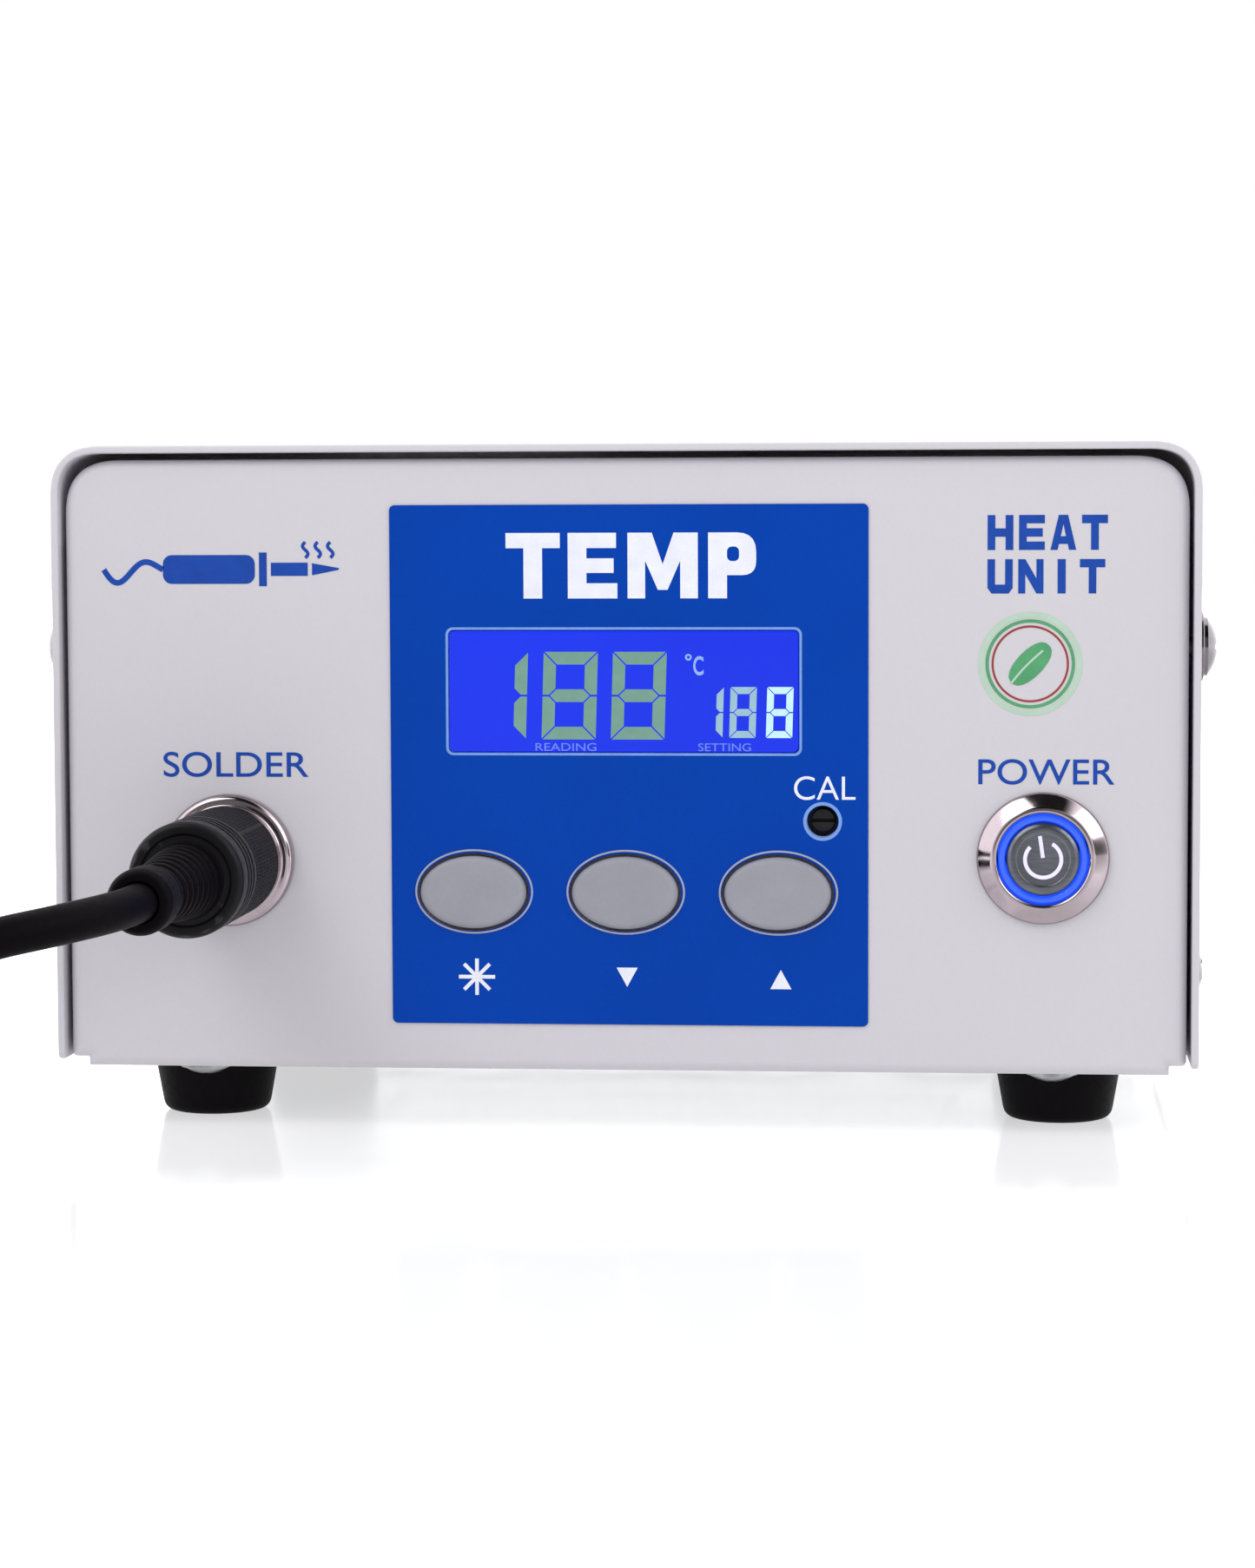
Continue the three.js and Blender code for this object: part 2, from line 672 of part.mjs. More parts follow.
{
  const power = groupAt(powerX, frontY, powerHeight);
  add("power_switch_bezel", turned([
    [bezelBore, -bezelHeight + 0.3], [bezelBore + 0.35, -bezelHeight], [bezelRadius, -0.7], [bezelRadius, 0],
    [barrelRadius, 0], [barrelRadius, barrelLength], [bezelBore, barrelLength],
  ], 28), chrome, power);
  add("power_light_ring", turned([
    [capRadius + capFit, -bezelHeight + 0.8], [capRadius + capFit + 0.4, -bezelHeight + 0.5],
    [lightRingRadius - 0.3, -bezelHeight + 0.5], [lightRingRadius, -bezelHeight + 0.9],
    [lightRingRadius, 9], [capRadius + capFit, 9],
  ], 24), [0x1e5aff, 0.2, 0], power);
  add("power_button", turned([
    [0, -bezelHeight + 0.1], [capRadius - 0.6, -bezelHeight + 0.1], [capRadius, -bezelHeight + 0.6],
    [capRadius, 8], [3, 8], [3, 9.4], [0, 9.4],
  ], 24), [0x9a9a9c, 0.3, 1], power);
  add("power_switch_nut", cut(
    hexRod(2 * (barrelRadius + nutWall), panelSheet, panelSheet + nutThickness),
    rod(barrelRadius + barrelClearance, 0, 10),
  ), zincSteel, power);
  const contactBlock = join(
    rod(bezelBore - capFit, 9.4 + powerTravel + restingGap, barrelLength + 1),
    rod(barrelRadius - 0.3, barrelLength + restingGap, barrelLength + 15),
    ...[-1, 1].map((side) => block([side * 4 - 1.2, barrelLength + 14, -0.4], [side * 4 + 1.2, barrelLength + 21, 0.4])),
  );
  add("power_switch_block", contactBlock, blackPlastic, power);
}

// ---------------------------------------------------------------- iron socket and plug

{
  const socket = groupAt(socketX, frontY, socketHeight);
  add("iron_socket_shell", turned([
    [socketBore, -socketFront], [socketBarrel, -socketFront], [socketBarrel, -socketFlangeThickness - 1.9],
    [couplingRadius - 0.3, -socketFlangeThickness - 1.9], [couplingRadius - 0.3, -socketFlangeThickness],
    [socketFlangeRadius - 0.9, -socketFlangeThickness], [socketFlangeRadius, -socketFlangeThickness + 0.9],
    [socketFlangeRadius, 0], [socketBarrel, 0], [socketBarrel, 12], [socketBore, 12],
  ], 24), chrome, socket);
  add("iron_socket_nut", cut(
    hexRod(2 * (socketBarrel + nutWall), panelSheet, panelSheet + nutThickness),
    rod(socketBarrel + barrelClearance, 0, 10),
  ), zincSteel, socket);
  add("iron_socket_insert", join(
    rod(socketBore - 0.1, -3, 14, 20),
    ...Array.from({ length: 5 }, (_, i) => {
      const angle = i * 2 * Math.PI / 5;
      return rod(0.8, 13, 19, 8).translate(3.6 * Math.cos(angle), 0, 3.6 * Math.sin(angle));
    }),
  ), blackPlastic, socket);

  // The coupling nut turns on the neck of the plug's shell, over the socket's nose.
  const nutFront = -socketFlangeThickness - 2.5;
  const nutBack = nutFront - couplingLength;
  const lip = 1.8;
  const neck = socketBarrel - 1;
  add("plug_coupling_nut", turned([
    [socketBarrel + plugFit, nutFront], [couplingRadius - 0.4, nutFront], [couplingRadius, nutFront - 0.5],
    [couplingRadius, nutBack + 0.4], [couplingRadius - 0.3, nutBack], [neck + plugFit, nutBack],
    [neck + plugFit, nutBack + lip], [socketBarrel + plugFit, nutBack + lip],
  ], 24), blackPlastic, socket);
  const nose = socketFront + restingGap;
  const grooves = [2, 4.2, 6.4].flatMap((from) => {
    const y = nutBack - restingGap - from;
    return [[couplingRadius, y], [couplingRadius - 0.5, y - 0.6], [couplingRadius, y - 1.2]];
  });
  add("plug_shell", turned([
    [0, -3 - restingGap], [socketBore - plugFit, -3 - restingGap], [socketBore - plugFit, -nose],
    [socketBarrel, -nose], [socketBarrel, nutBack + lip + plugFit], [neck, nutBack + lip + plugFit],
    [neck, nutBack - restingGap], [couplingRadius - 0.3, nutBack - restingGap], ...grooves,
    [couplingRadius, -plugEnd + 1], [couplingRadius - 0.8, -plugEnd], [bootRootRadius - 1, -plugEnd],
    [bootRootRadius - 1, -plugEnd + 8], [0, -plugEnd + 8],
  ], 24), blackPlastic, socket);

  // Ribbed boot: a spigot in the shell, a row of ribs that taper, and a collar round the cord.
  const bootRoot = -plugEnd - restingGap;
  const ribStart = bootRoot - 1.5;
  const collarStart = -bootEnd + 9;
  const ribPitch = (ribStart - collarStart) / bootRibs;
  const ribs = Array.from({ length: bootRibs }, (_, i) => {
    const share = i / (bootRibs - 1);
    const r = bootRootRadius + (bootEndRadius - bootRootRadius) * share;
    const y = ribStart - i * ribPitch;
    return [[r, y], [r, y - ribPitch * 0.55], [r - 0.8, y - ribPitch * 0.8]];
  }).flat();
  add("plug_boot", turned([
    [0, -plugEnd + 8 - restingGap], [bootRootRadius - 1.3, -plugEnd + 8 - restingGap], [bootRootRadius - 1.3, bootRoot],
    [bootRootRadius, bootRoot], ...ribs, [bootEndRadius - 0.6, collarStart], [bootCollarRadius, collarStart - 1],
    [bootCollarRadius, -bootEnd + 0.8], [bootCollarRadius - 0.7, -bootEnd], [cordRadius + plugFit, -bootEnd],
    [cordRadius + plugFit, -bootEnd + cordBoreDepth], [0, -bootEnd + cordBoreDepth],
  ], 16), blackRubber, socket);
}

// ---------------------------------------------------------------- cord of the iron

// The cord leaves the boot, droops to the table and joins a coil that lies beside the station. A
// short tail goes on from the coil to the handpiece.
const cordRoute = [
  [-65.6, -140.4, 33.6], [-65.6, -148.1, 33.6], [-66.4, -155, 33.4], [-69, -162, 33], [-74, -168.5, 32.2],
  [-81, -173.6, 30.9], [-90, -177, 28.4], [-100, -178.6, 24.2], [-110, -179, 18.9], [-120, -178.6, 13.2],
  [-130, -177.9, 8.4], [-139, -177, 5],
];
const tailRoute = [
  [-202.2, -114, -8.7], [-202.3, -108, -8.6], [-202.3, -102, -7.2], [-202.2, -96, -4.2], [-202.2, -90, -1.7],
  [-202.2, -85, -0.7], [-202.2, -79, -0.7],
];

function cordTube(points, steps) {
  const path = new THREE.CatmullRomCurve3(points.map((p) => new THREE.Vector3(...p)), false, "centripetal");
  const section = new THREE.Shape();
  for (let i = 0; i < cordSides; i += 1) {
    const angle = i * 2 * Math.PI / cordSides;
    const method = i === 0 ? "moveTo" : "lineTo";
    section[method](cordRadius * Math.cos(angle), cordRadius * Math.sin(angle));
  }
  section.closePath();
  return new THREE.ExtrudeGeometry(section, { steps, extrudePath: path, bevelEnabled: false });
}

add("iron_cord", cordTube(cordRoute, 16), blackRubber);
add("iron_cord_tail", cordTube(tailRoute, 6), blackRubber);

{
  const inner = coilInner - cordRadius;
  const outer = coilOuter + cordRadius;
  const top = floorZ + coilLayers * 2 * cordRadius + restingGap;
  const ring = turned([
    [inner + 2, floorZ], [outer - 2, floorZ], [outer, floorZ + 2], [outer, top - 2],
    [outer - 2, top], [inner + 2, top], [inner, top - 2], [inner, floorZ + 2],
  ].map(([r, z]) => [r, -z]), 32);
  add("iron_cord_coil", ring.rotateX(-quarterTurn).translate(coilCentre.x, coilCentre.y, 0), blackRubber);
}

// ---------------------------------------------------------------- iron handpiece

{
  const iron = groupAt(ironX, ironStart, floorZ + ironGuardRadius);
  const handleStart = ironBootLength;
  const handleEnd = handleStart + ironHandleLength;
  const gripStart = handleEnd - ironGripLength;
  const nutStart = handleEnd + restingGap;
  const nutEnd = nutStart + ironNutLength;
  const barrelEnd = nutEnd + ironBarrelLength;
  const core = ironHandleRadius - ironGripWall;

  add("iron_cord_boot", turned([
    [cordRadius + plugFit, 0], [4.3, 0], [4.8, 0.8], [5.2, ironBootLength * 0.5], [6.4, handleStart - restingGap],
    [4.6, handleStart - restingGap], [4.6, handleStart + 6], [0, handleStart + 6],
    [0, cordBoreDepth], [cordRadius + plugFit, cordBoreDepth],
  ], 20), blackRubber, iron);
  add("iron_handle", turned([
    [0, handleStart + 6 + restingGap], [4.9, handleStart + 6 + restingGap], [4.9, handleStart],
    [6.8, handleStart], [7.6, handleStart + 1.2], [ironHandleRadius, handleStart + 22],
    [ironHandleRadius, gripStart - 2], [core, gripStart - 2], [core, handleEnd], [0, handleEnd],
  ], 20), blackPlastic, iron);
  add("iron_grip", turned([
    [core + 0.2, gripStart - 1.7], [ironHandleRadius + 0.6, gripStart - 1.7], [ironHandleRadius + 0.9, gripStart],
    [ironHandleRadius + 0.4, gripStart + ironGripLength * 0.45], [ironHandleRadius + 0.8, handleEnd - 8],
    [ironGuardRadius, handleEnd - 3], [ironGuardRadius, handleEnd - 1.2], [ironGuardRadius - 1.4, handleEnd],
    [core + 0.2, handleEnd],
  ], 20), [0x1646b4, 0.7, 0], iron);
  add("iron_collar_nut", turned([
    [ironBarrelRadius + 0.3, nutStart], [ironNutRadius, nutStart], [ironNutRadius, nutEnd - 3],
    [ironBarrelRadius + 1.6, nutEnd], [ironBarrelRadius + 0.3, nutEnd],
  ], 20), chrome, iron);
  add("iron_barrel", turned([
    [ironTipRadius + 0.3, nutStart], [ironBarrelRadius, nutStart], [ironBarrelRadius, barrelEnd - 1],
    [ironBarrelRadius - 0.4, barrelEnd], [ironTipRadius + 0.3, barrelEnd],
  ], 20), [0xb9b6b0, 0.35, 1], iron);
  add("iron_tip", turned([
    [0, nutStart + 4], [ironTipRadius, nutStart + 4], [ironTipRadius, barrelEnd + 5],
    [ironTipRadius * 0.75, barrelEnd + 7], [0.5, barrelEnd + ironTipLength - 0.4], [0, barrelEnd + ironTipLength],
  ], 20), [0x8d8f92, 0.3, 1], iron);
}

// ---------------------------------------------------------------- mains inlet

// The inlet is made looking out of the rear panel, with its own zero at the panel's outer face.
{
  const inlet = groupAt(inletX, rearY, inletHeightAbove);
  const half = inletWidth / 2 - 0.2;
  const tall = inletHeight / 2 - 0.2;
  const flangeOut = inletFlangeThickness;
  const cavity = new THREE.Shape();
  const cw = cavityWidth / 2;
  const ch = cavityHeight / 2;
  const bevel = 5;
  cavity.moveTo(-cw, -ch);
  cavity.lineTo(cw, -ch);
  cavity.lineTo(cw, ch - bevel);
  cavity.lineTo(cw - bevel, ch);
  cavity.lineTo(-cw + bevel, ch);
  cavity.lineTo(-cw, ch - bevel);
  cavity.closePath();
  const cavityFloor = flangeOut - cavityDepth;
  const cavityCut = plate(cavity, cavityFloor, flangeOut + 1).translate(0, 0, cavityRise);
  const drawerHalf = drawerWidth / 2 + drawerFit;
  const drawerTall = drawerHeight / 2 + drawerFit;
  const drawerCut = block(
    [-drawerHalf, flangeOut - drawerDepth - drawerFit, -drawerDrop - drawerTall],
    [drawerHalf, flangeOut + 1, -drawerDrop + drawerTall],
  );
  const body = join(
    block([-half, -inletDepth, -tall], [half, 0.5, tall]),
    block([-half - inletFlange, 0, -tall - inletFlange], [half + inletFlange, flangeOut, tall + inletFlange]),
  );
  const pinXs = [["neutral", -pinSpacing, -pinRise / 2], ["line", pinSpacing, -pinRise / 2], ["earth", 0, pinRise / 2]];
  const pinHoles = pinXs.map(([, x, z]) => block(
    [x - 1.3, -inletDepth - 1, cavityRise + z - 2.3], [x + 1.3, cavityFloor + 1, cavityRise + z + 2.3],
  ));
  add("mains_inlet", cut(body, cavityCut, drawerCut, ...pinHoles), blackPlastic, inlet);
  for (const [name, x, z] of pinXs) {
    add(`inlet_${name}_pin`, block(
      [x - 1, -inletDepth - 7, cavityRise + z - 2], [x + 1, cavityFloor + pinLength, cavityRise + z + 2],
    ), [0xc9b98a, 0.3, 1], inlet);
  }

  // The drawer is a tray open on top, with a fuse lying in it and a pull lip on its face.
  const faceOut = flangeOut + 1.6;
  const back = flangeOut - drawerDepth;
  const dw = drawerWidth / 2;
  const dh = drawerHeight / 2;
  const drawer = cut(
    join(
      block([-dw, back, -dh], [dw, flangeOut + 0.3, dh]),
      block([-dw, flangeOut, -dh], [dw, faceOut, dh]),
    ),
    block([-fuseLength / 2 - 0.3, back + 1.5, -dh + 1], [fuseLength / 2 + 0.3, back + 2 + 2 * fuseRadius + 1, dh + 1]),
  );
  add("fuse_drawer", drawer.translate(0, 0, -drawerDrop), [0x1b1a1f, 0.5, 0], inlet);
  const fuse = rod(fuseRadius, -fuseLength / 2, fuseLength / 2, 14).rotateZ(quarterTurn);
  add("fuse", fuse.translate(0, back + 1.8 + fuseRadius, -drawerDrop - dh + 1.3 + fuseRadius), [0xd9dadc, 0.2, 0.6], inlet);
}

// ---------------------------------------------------------------- inside

// Laminated core with a window on each side of its middle limb; the winding fills the windows.
{
  const transformer = groupAt(transformerX, transformerY, traySheet + restingGap);
  const half = coreWidth / 2;
  const deep = coreDepth / 2;
  const windowOuter = half - coreLimb;
  const limb = coreLimb;
  const windows = [-1, 1].map((side) => block(
    [side > 0 ? limb : -windowOuter, -deep - 1, coreLimb],
    [side > 0 ? windowOuter : -limb, deep + 1, coreHeight - coreLimb],
  ));
  add("transformer_core", cut(block([-half, -deep, 0], [half, deep, coreHeight]), ...windows),
    [0x3c3f46, 0.6, 0.6], transformer);
  const wall = windowFit + windingFit;
  const winding = cut(
    block([-windowOuter + wall, -deep - 9, coreLimb + wall], [windowOuter - wall, deep + 9, coreHeight - coreLimb - wall]),
    block([-limb - wall, -deep - wall, 0], [limb + wall, deep + wall, coreHeight]),
  );
  add("transformer_winding", winding, [0xd9c23a, 0.6, 0], transformer);
  // A strap over the core with two feet on the tray.
  const gap = restingGap;
  const strap = join(
    block([-half - gap - bracketSheet, -8, 0], [-half - gap, 8, coreHeight + gap + bracketSheet]),
    block([half + gap, -8, 0], [half + gap + bracketSheet, 8, coreHeight + gap + bracketSheet]),
    block([-half - gap - bracketSheet, -8, coreHeight + gap], [half + gap + bracketSheet, 8, coreHeight + gap + bracketSheet]),
    block([-half - gap - bracketSheet - bracketFoot + 1, -8, 0], [-half - gap, 8, bracketSheet]),
  );
  add("transformer_bracket", strap, zincSteel, transformer);
}

{
  const boardZ = traySheet + mainBoardRise;
  const x0 = mainBoardX - mainBoardWidth / 2;
  const y0 = -mainBoardDepth / 2 + 8;
  const posts = [[x0 + 6, y0 + 6], [x0 + mainBoardWidth - 6, y0 + 6], [x0 + 6, y0 + mainBoardDepth - 6],
    [x0 + mainBoardWidth - 6, y0 + mainBoardDepth - 6]];
  add("main_board", join(
    block([x0, y0, boardZ], [x0 + mainBoardWidth, y0 + mainBoardDepth, boardZ + boardThickness]),
    ...posts.map(([x, y]) => block([x - 2.5, y - 2.5, traySheet], [x + 2.5, y + 2.5, boardZ + 0.5])),
  ), greenBoard);

  const top = boardZ + boardThickness + restingGap;
  const sinkX = mainBoardX - sinkWidth / 2;
  const sinkY = y0 + mainBoardDepth - sinkFinDepth - sinkBase - 6;
  const finPitch = (sinkWidth - sinkBase) / (sinkFins - 1);
  add("heat_sink", join(
    block([sinkX, sinkY, top], [sinkX + sinkWidth, sinkY + sinkBase, top + sinkHeight]),
    ...Array.from({ length: sinkFins }, (_, i) => {
      const x = sinkX + i * finPitch;
      return block([x, sinkY + 1, top], [x + 2, sinkY + sinkBase + sinkFinDepth, top + sinkHeight]);
    }),
  ), [0x8b8e93, 0.5, 0.8]);
  const can = rod(capacitorRadius, -capacitorHeight, 0, 20).rotateX(-quarterTurn);
  add("filter_capacitor", can.translate(mainBoardX - 10, y0 + 40, top), [0x22304e, 0.4, 0]);
}

export default assembly;
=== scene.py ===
"""Soldering station: its looks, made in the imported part's own frame, and the stage that it stands on.

Points are worked out in millimetres and written to the meshes in metres. +X is to the right seen from
the front, +Y runs from the front panel to the rear panel and +Z is up.
"""

import json
import math

import bmesh
import bpy
import numpy as np
from bpy.props import FloatProperty, FloatVectorProperty, IntProperty, PointerProperty
from mathutils import Matrix, Vector
from mathutils.geometry import tessellate_polygon


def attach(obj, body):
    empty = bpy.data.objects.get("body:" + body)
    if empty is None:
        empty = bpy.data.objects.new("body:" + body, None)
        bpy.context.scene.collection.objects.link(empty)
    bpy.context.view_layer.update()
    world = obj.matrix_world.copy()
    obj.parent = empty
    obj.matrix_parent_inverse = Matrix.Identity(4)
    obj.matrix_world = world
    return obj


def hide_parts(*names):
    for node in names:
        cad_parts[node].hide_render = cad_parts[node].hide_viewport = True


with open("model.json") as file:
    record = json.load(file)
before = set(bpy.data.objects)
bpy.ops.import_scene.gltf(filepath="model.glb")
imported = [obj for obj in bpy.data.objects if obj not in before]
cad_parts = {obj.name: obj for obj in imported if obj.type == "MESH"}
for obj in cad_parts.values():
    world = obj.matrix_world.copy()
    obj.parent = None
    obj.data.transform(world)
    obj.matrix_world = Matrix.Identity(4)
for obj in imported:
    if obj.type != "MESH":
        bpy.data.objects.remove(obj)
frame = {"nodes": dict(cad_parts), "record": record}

bl_info = {
    "name": "Soldering station",
    "version": (1, 0, 0),
    "blender": (4, 5, 0),
    "location": "3D View > Sidebar > Station",
    "description": "Builds the looks of a bench soldering station around its packed part",
    "category": "Object",
}

MM = 0.001
FRONT = -76.5
LABEL_FRONT = -76.8
FLOOR = -11.7
SLOT_OF = {row["node"]: row["material_slot"] for row in frame["record"]["subparts"]}


# ---------------------------------------------------------------- shapes: (points, triangles, quads)

NO_TRIS = np.zeros((0, 3), int)
NO_QUADS = np.zeros((0, 4), int)


def outward(points, tris, quads):
    """The same closed shape with its faces turned outward, judged by the sign of the volume they close."""
    every = np.vstack([tris, quads[:, [0, 1, 2]], quads[:, [0, 2, 3]]])
    a, b, c = (points[every[:, i]] - points.mean(axis=0) for i in range(3))
    if np.einsum("ij,ij->i", a, np.cross(b, c)).sum() < 0:
        tris, quads = tris[:, ::-1], quads[:, ::-1]
    return points, tris, quads


def merged(*shapes):
    """Several shapes as one, with the later ones' numbers moved on."""
    starts = np.cumsum([0] + [len(s[0]) for s in shapes[:-1]])
    return (
        np.vstack([s[0] for s in shapes]),
        np.vstack([s[1] + at for s, at in zip(shapes, starts)]),
        np.vstack([s[2] + at for s, at in zip(shapes, starts)]),
    )


def placed(shape, matrix):
    """A shape turned and moved by a matrix whose shift is in millimetres."""
    m = np.array(matrix)
    return outward(shape[0] @ m[:3, :3].T + m[:3, 3], shape[1], shape[2])


def lofted(rings, ends=None, looped=False):
    """Skin over a stack of rings: point j of ring i joins point j + 1 and the same two of ring i + 1, with
    j wrapping round. ends are the two points that close it as fans, or looped joins the last ring to the
    first."""
    rings = np.asarray(rings, float)
    rows, sides = rings.shape[:2]
    index = np.arange(rows * sides).reshape(rows, sides)
    low = index if looped else index[:-1]
    high = np.roll(index, -1, axis=0) if looped else index[1:]
    quads = np.stack([low, np.roll(low, -1, 1), np.roll(high, -1, 1), high], axis=-1).reshape(-1, 4)
    points = rings.reshape(-1, 3)
    tris = NO_TRIS
    if ends is not None:
        points = np.vstack([points, ends])
        first, last = index[0], index[-1]
        start = np.full(sides, rows * sides)
        tris = np.vstack([
            np.stack([start, np.roll(first, -1), first], axis=-1),
            np.stack([start + 1, last, np.roll(last, -1)], axis=-1),
        ])
    return outward(points, tris, quads)


def rounded(corners, steps=4, closed=False):
    """A line through corners (a, b, radius), each corner of some radius traded for the curve
    (1 - t)^2 A + 2 t (1 - t) C + t^2 B between points A and B on its two sides."""
    corners = [(*c, 0.0) if len(c) == 2 else tuple(c) for c in corners]
    line = []
    t = np.linspace(0, 1, steps + 1)[:, None]
    for i, (a, b, radius) in enumerate(corners):
        here = np.array([a, b])
        inside = closed or 0 < i < len(corners) - 1
        if radius == 0 or not inside:
            line.append(here[None])
            continue
        before = np.array(corners[i - 1][:2]) - here
        after = np.array(corners[(i + 1) % len(corners)][:2]) - here
        reach = min(radius, 0.48 * np.linalg.norm(before), 0.48 * np.linalg.norm(after))
        start = here + before / np.linalg.norm(before) * reach
        end = here + after / np.linalg.norm(after) * reach
        line.append((1 - t) ** 2 * start + 2 * t * (1 - t) * here + t**2 * end)
    return np.vstack(line)


def turned(corners, centre, axis="y", sides=72, steps=4, ripple=None):
    """A rounded profile of (radius, distance) turned about an axis through centre: at angle a a point of
    radius r and distance t lies at (r cos a, t, r sin a). A profile that starts and ends at radius 0 is
    closed by poles, and any other is joined to its own start. ripple(a, t, r) is added to the radius."""
    capped = corners[0][0] == 0 and corners[-1][0] == 0
    profile = rounded(corners, steps, closed=not capped)
    a = np.linspace(0, 2 * np.pi, sides, endpoint=False)[None]
    rows = profile[1:-1] if capped else profile
    r, t = rows[:, :1] + 0 * a, rows[:, 1:] + 0 * a
    if ripple is not None:
        r = r + ripple(a, t, r)
    rings = np.stack([r * np.cos(a), t, r * np.sin(a)], axis=-1)
    ends = np.array([[0, profile[0, 1], 0], [0, profile[-1, 1], 0]]) if capped else None
    points, tris, quads = lofted(rings, ends, looped=not capped)
    order = {"y": [0, 1, 2], "z": [0, 2, 1], "x": [1, 0, 2]}[axis]
    return outward(points[:, order] + np.asarray(centre, float), tris, quads)


def carried(path, section, up=(0, 0, 1)):
    """A closed section carried along a path: a point (a, b) of it lies at P + a N + b U, where N is square
    to the path and to up, and U square to both."""
    path, section = np.asarray(path, float), np.asarray(section, float)
    along = np.gradient(path, axis=0)
    along /= np.linalg.norm(along, axis=1, keepdims=True)
    side = np.cross(along, up)
    side /= np.linalg.norm(side, axis=1, keepdims=True)
    over = np.cross(side, along)
    a, b = section[None, :, :1], section[None, :, 1:]
    rings = path[:, None] + a * side[:, None] + b * over[:, None]
    return lofted(rings, ends=path[[0, -1]])


def round_section(radius, sides=20):
    """A circle of that radius as a section."""
    a = np.linspace(0, 2 * np.pi, sides, endpoint=False)
    return np.stack([radius * np.cos(a), radius * np.sin(a)], axis=-1)


def smooth_line(points, steps):
    """A Catmull-Rom line: between P1 and P2 it is half of 2 P1 + (P2 - P0) t + (2 P0 - 5 P1 + 4 P2 - P3) t^2
    + (3 P1 - P0 - 3 P2 + P3) t^3."""
    p = np.asarray(points, float)
    p = np.vstack([2 * p[0] - p[1], p, 2 * p[-1] - p[-2]])
    a, b, c, d = (p[i : len(p) - 3 + i, None] for i in range(4))
    t = np.linspace(0, 1, steps, endpoint=False)[None, :, None]
    line = 0.5 * (2 * b + (c - a) * t + (2 * a - 5 * b + 4 * c - d) * t**2 + (3 * b - a - 3 * c + d) * t**3)
    return np.vstack([line.reshape(-1, p.shape[1]), p[-2]])


# Outlines in X and Z, each a function of how far it is grown.


def oval(x, z, width, height, sides=64):
    """An ellipse about (x, z): width / 2 cos a and height / 2 sin a."""
    a = np.linspace(0, 2 * np.pi, sides, endpoint=False)

    def outline(grow):
        return np.stack([x + (width / 2 + grow) * np.cos(a), z + (height / 2 + grow) * np.sin(a)], axis=-1)

    return outline


def box_outline(x0, x1, z0, z1, radius=0.0, steps=6):
    """A rectangle whose corners are quarter circles."""
    quarter = np.linspace(0, np.pi / 2, steps + 1)

    def outline(grow):
        r = max(radius + grow, 0.02)
        a = np.concatenate([quarter - np.pi / 2 + i * np.pi / 2 for i in range(4)])
        x = np.repeat([x1 + grow - r, x1 + grow - r, x0 - grow + r, x0 - grow + r], steps + 1)
        z = np.repeat([z0 - grow + r, z1 + grow - r, z1 + grow - r, z0 - grow + r], steps + 1)
        return np.stack([x + r * np.cos(a), z + r * np.sin(a)], axis=-1)

    return outline


def cornered(*corners, steps=5):
    """An outline through corners (x, z, radius), anticlockwise. Grown by g, a corner moves by
    g (m + n) / (1 + m . n), where m and n are its two sides' outward normals, and its rounding grows with an
    outer corner and shrinks with an inner one."""
    points, radii = np.array([c[:2] for c in corners], float), np.array([c[2] for c in corners], float)
    sides = np.roll(points, -1, axis=0) - points
    sides /= np.linalg.norm(sides, axis=1, keepdims=True)
    normal = np.stack([sides[:, 1], -sides[:, 0]], axis=-1)
    before = np.roll(normal, 1, axis=0)
    move = (normal + before) / (1 + np.sum(normal * before, axis=1))[:, None]
    bulge = np.sign(before[:, 0] * normal[:, 1] - before[:, 1] * normal[:, 0])

    def outline(grow):
        rounding = np.maximum(radii + grow * bulge, 0.05)
        return rounded(np.column_stack([points + grow * move, rounding]).tolist(), steps, closed=True)

    return outline


def polygon(*points):
    """A plain outline through points, whatever it is grown by."""
    return lambda grow: np.array(points, float)


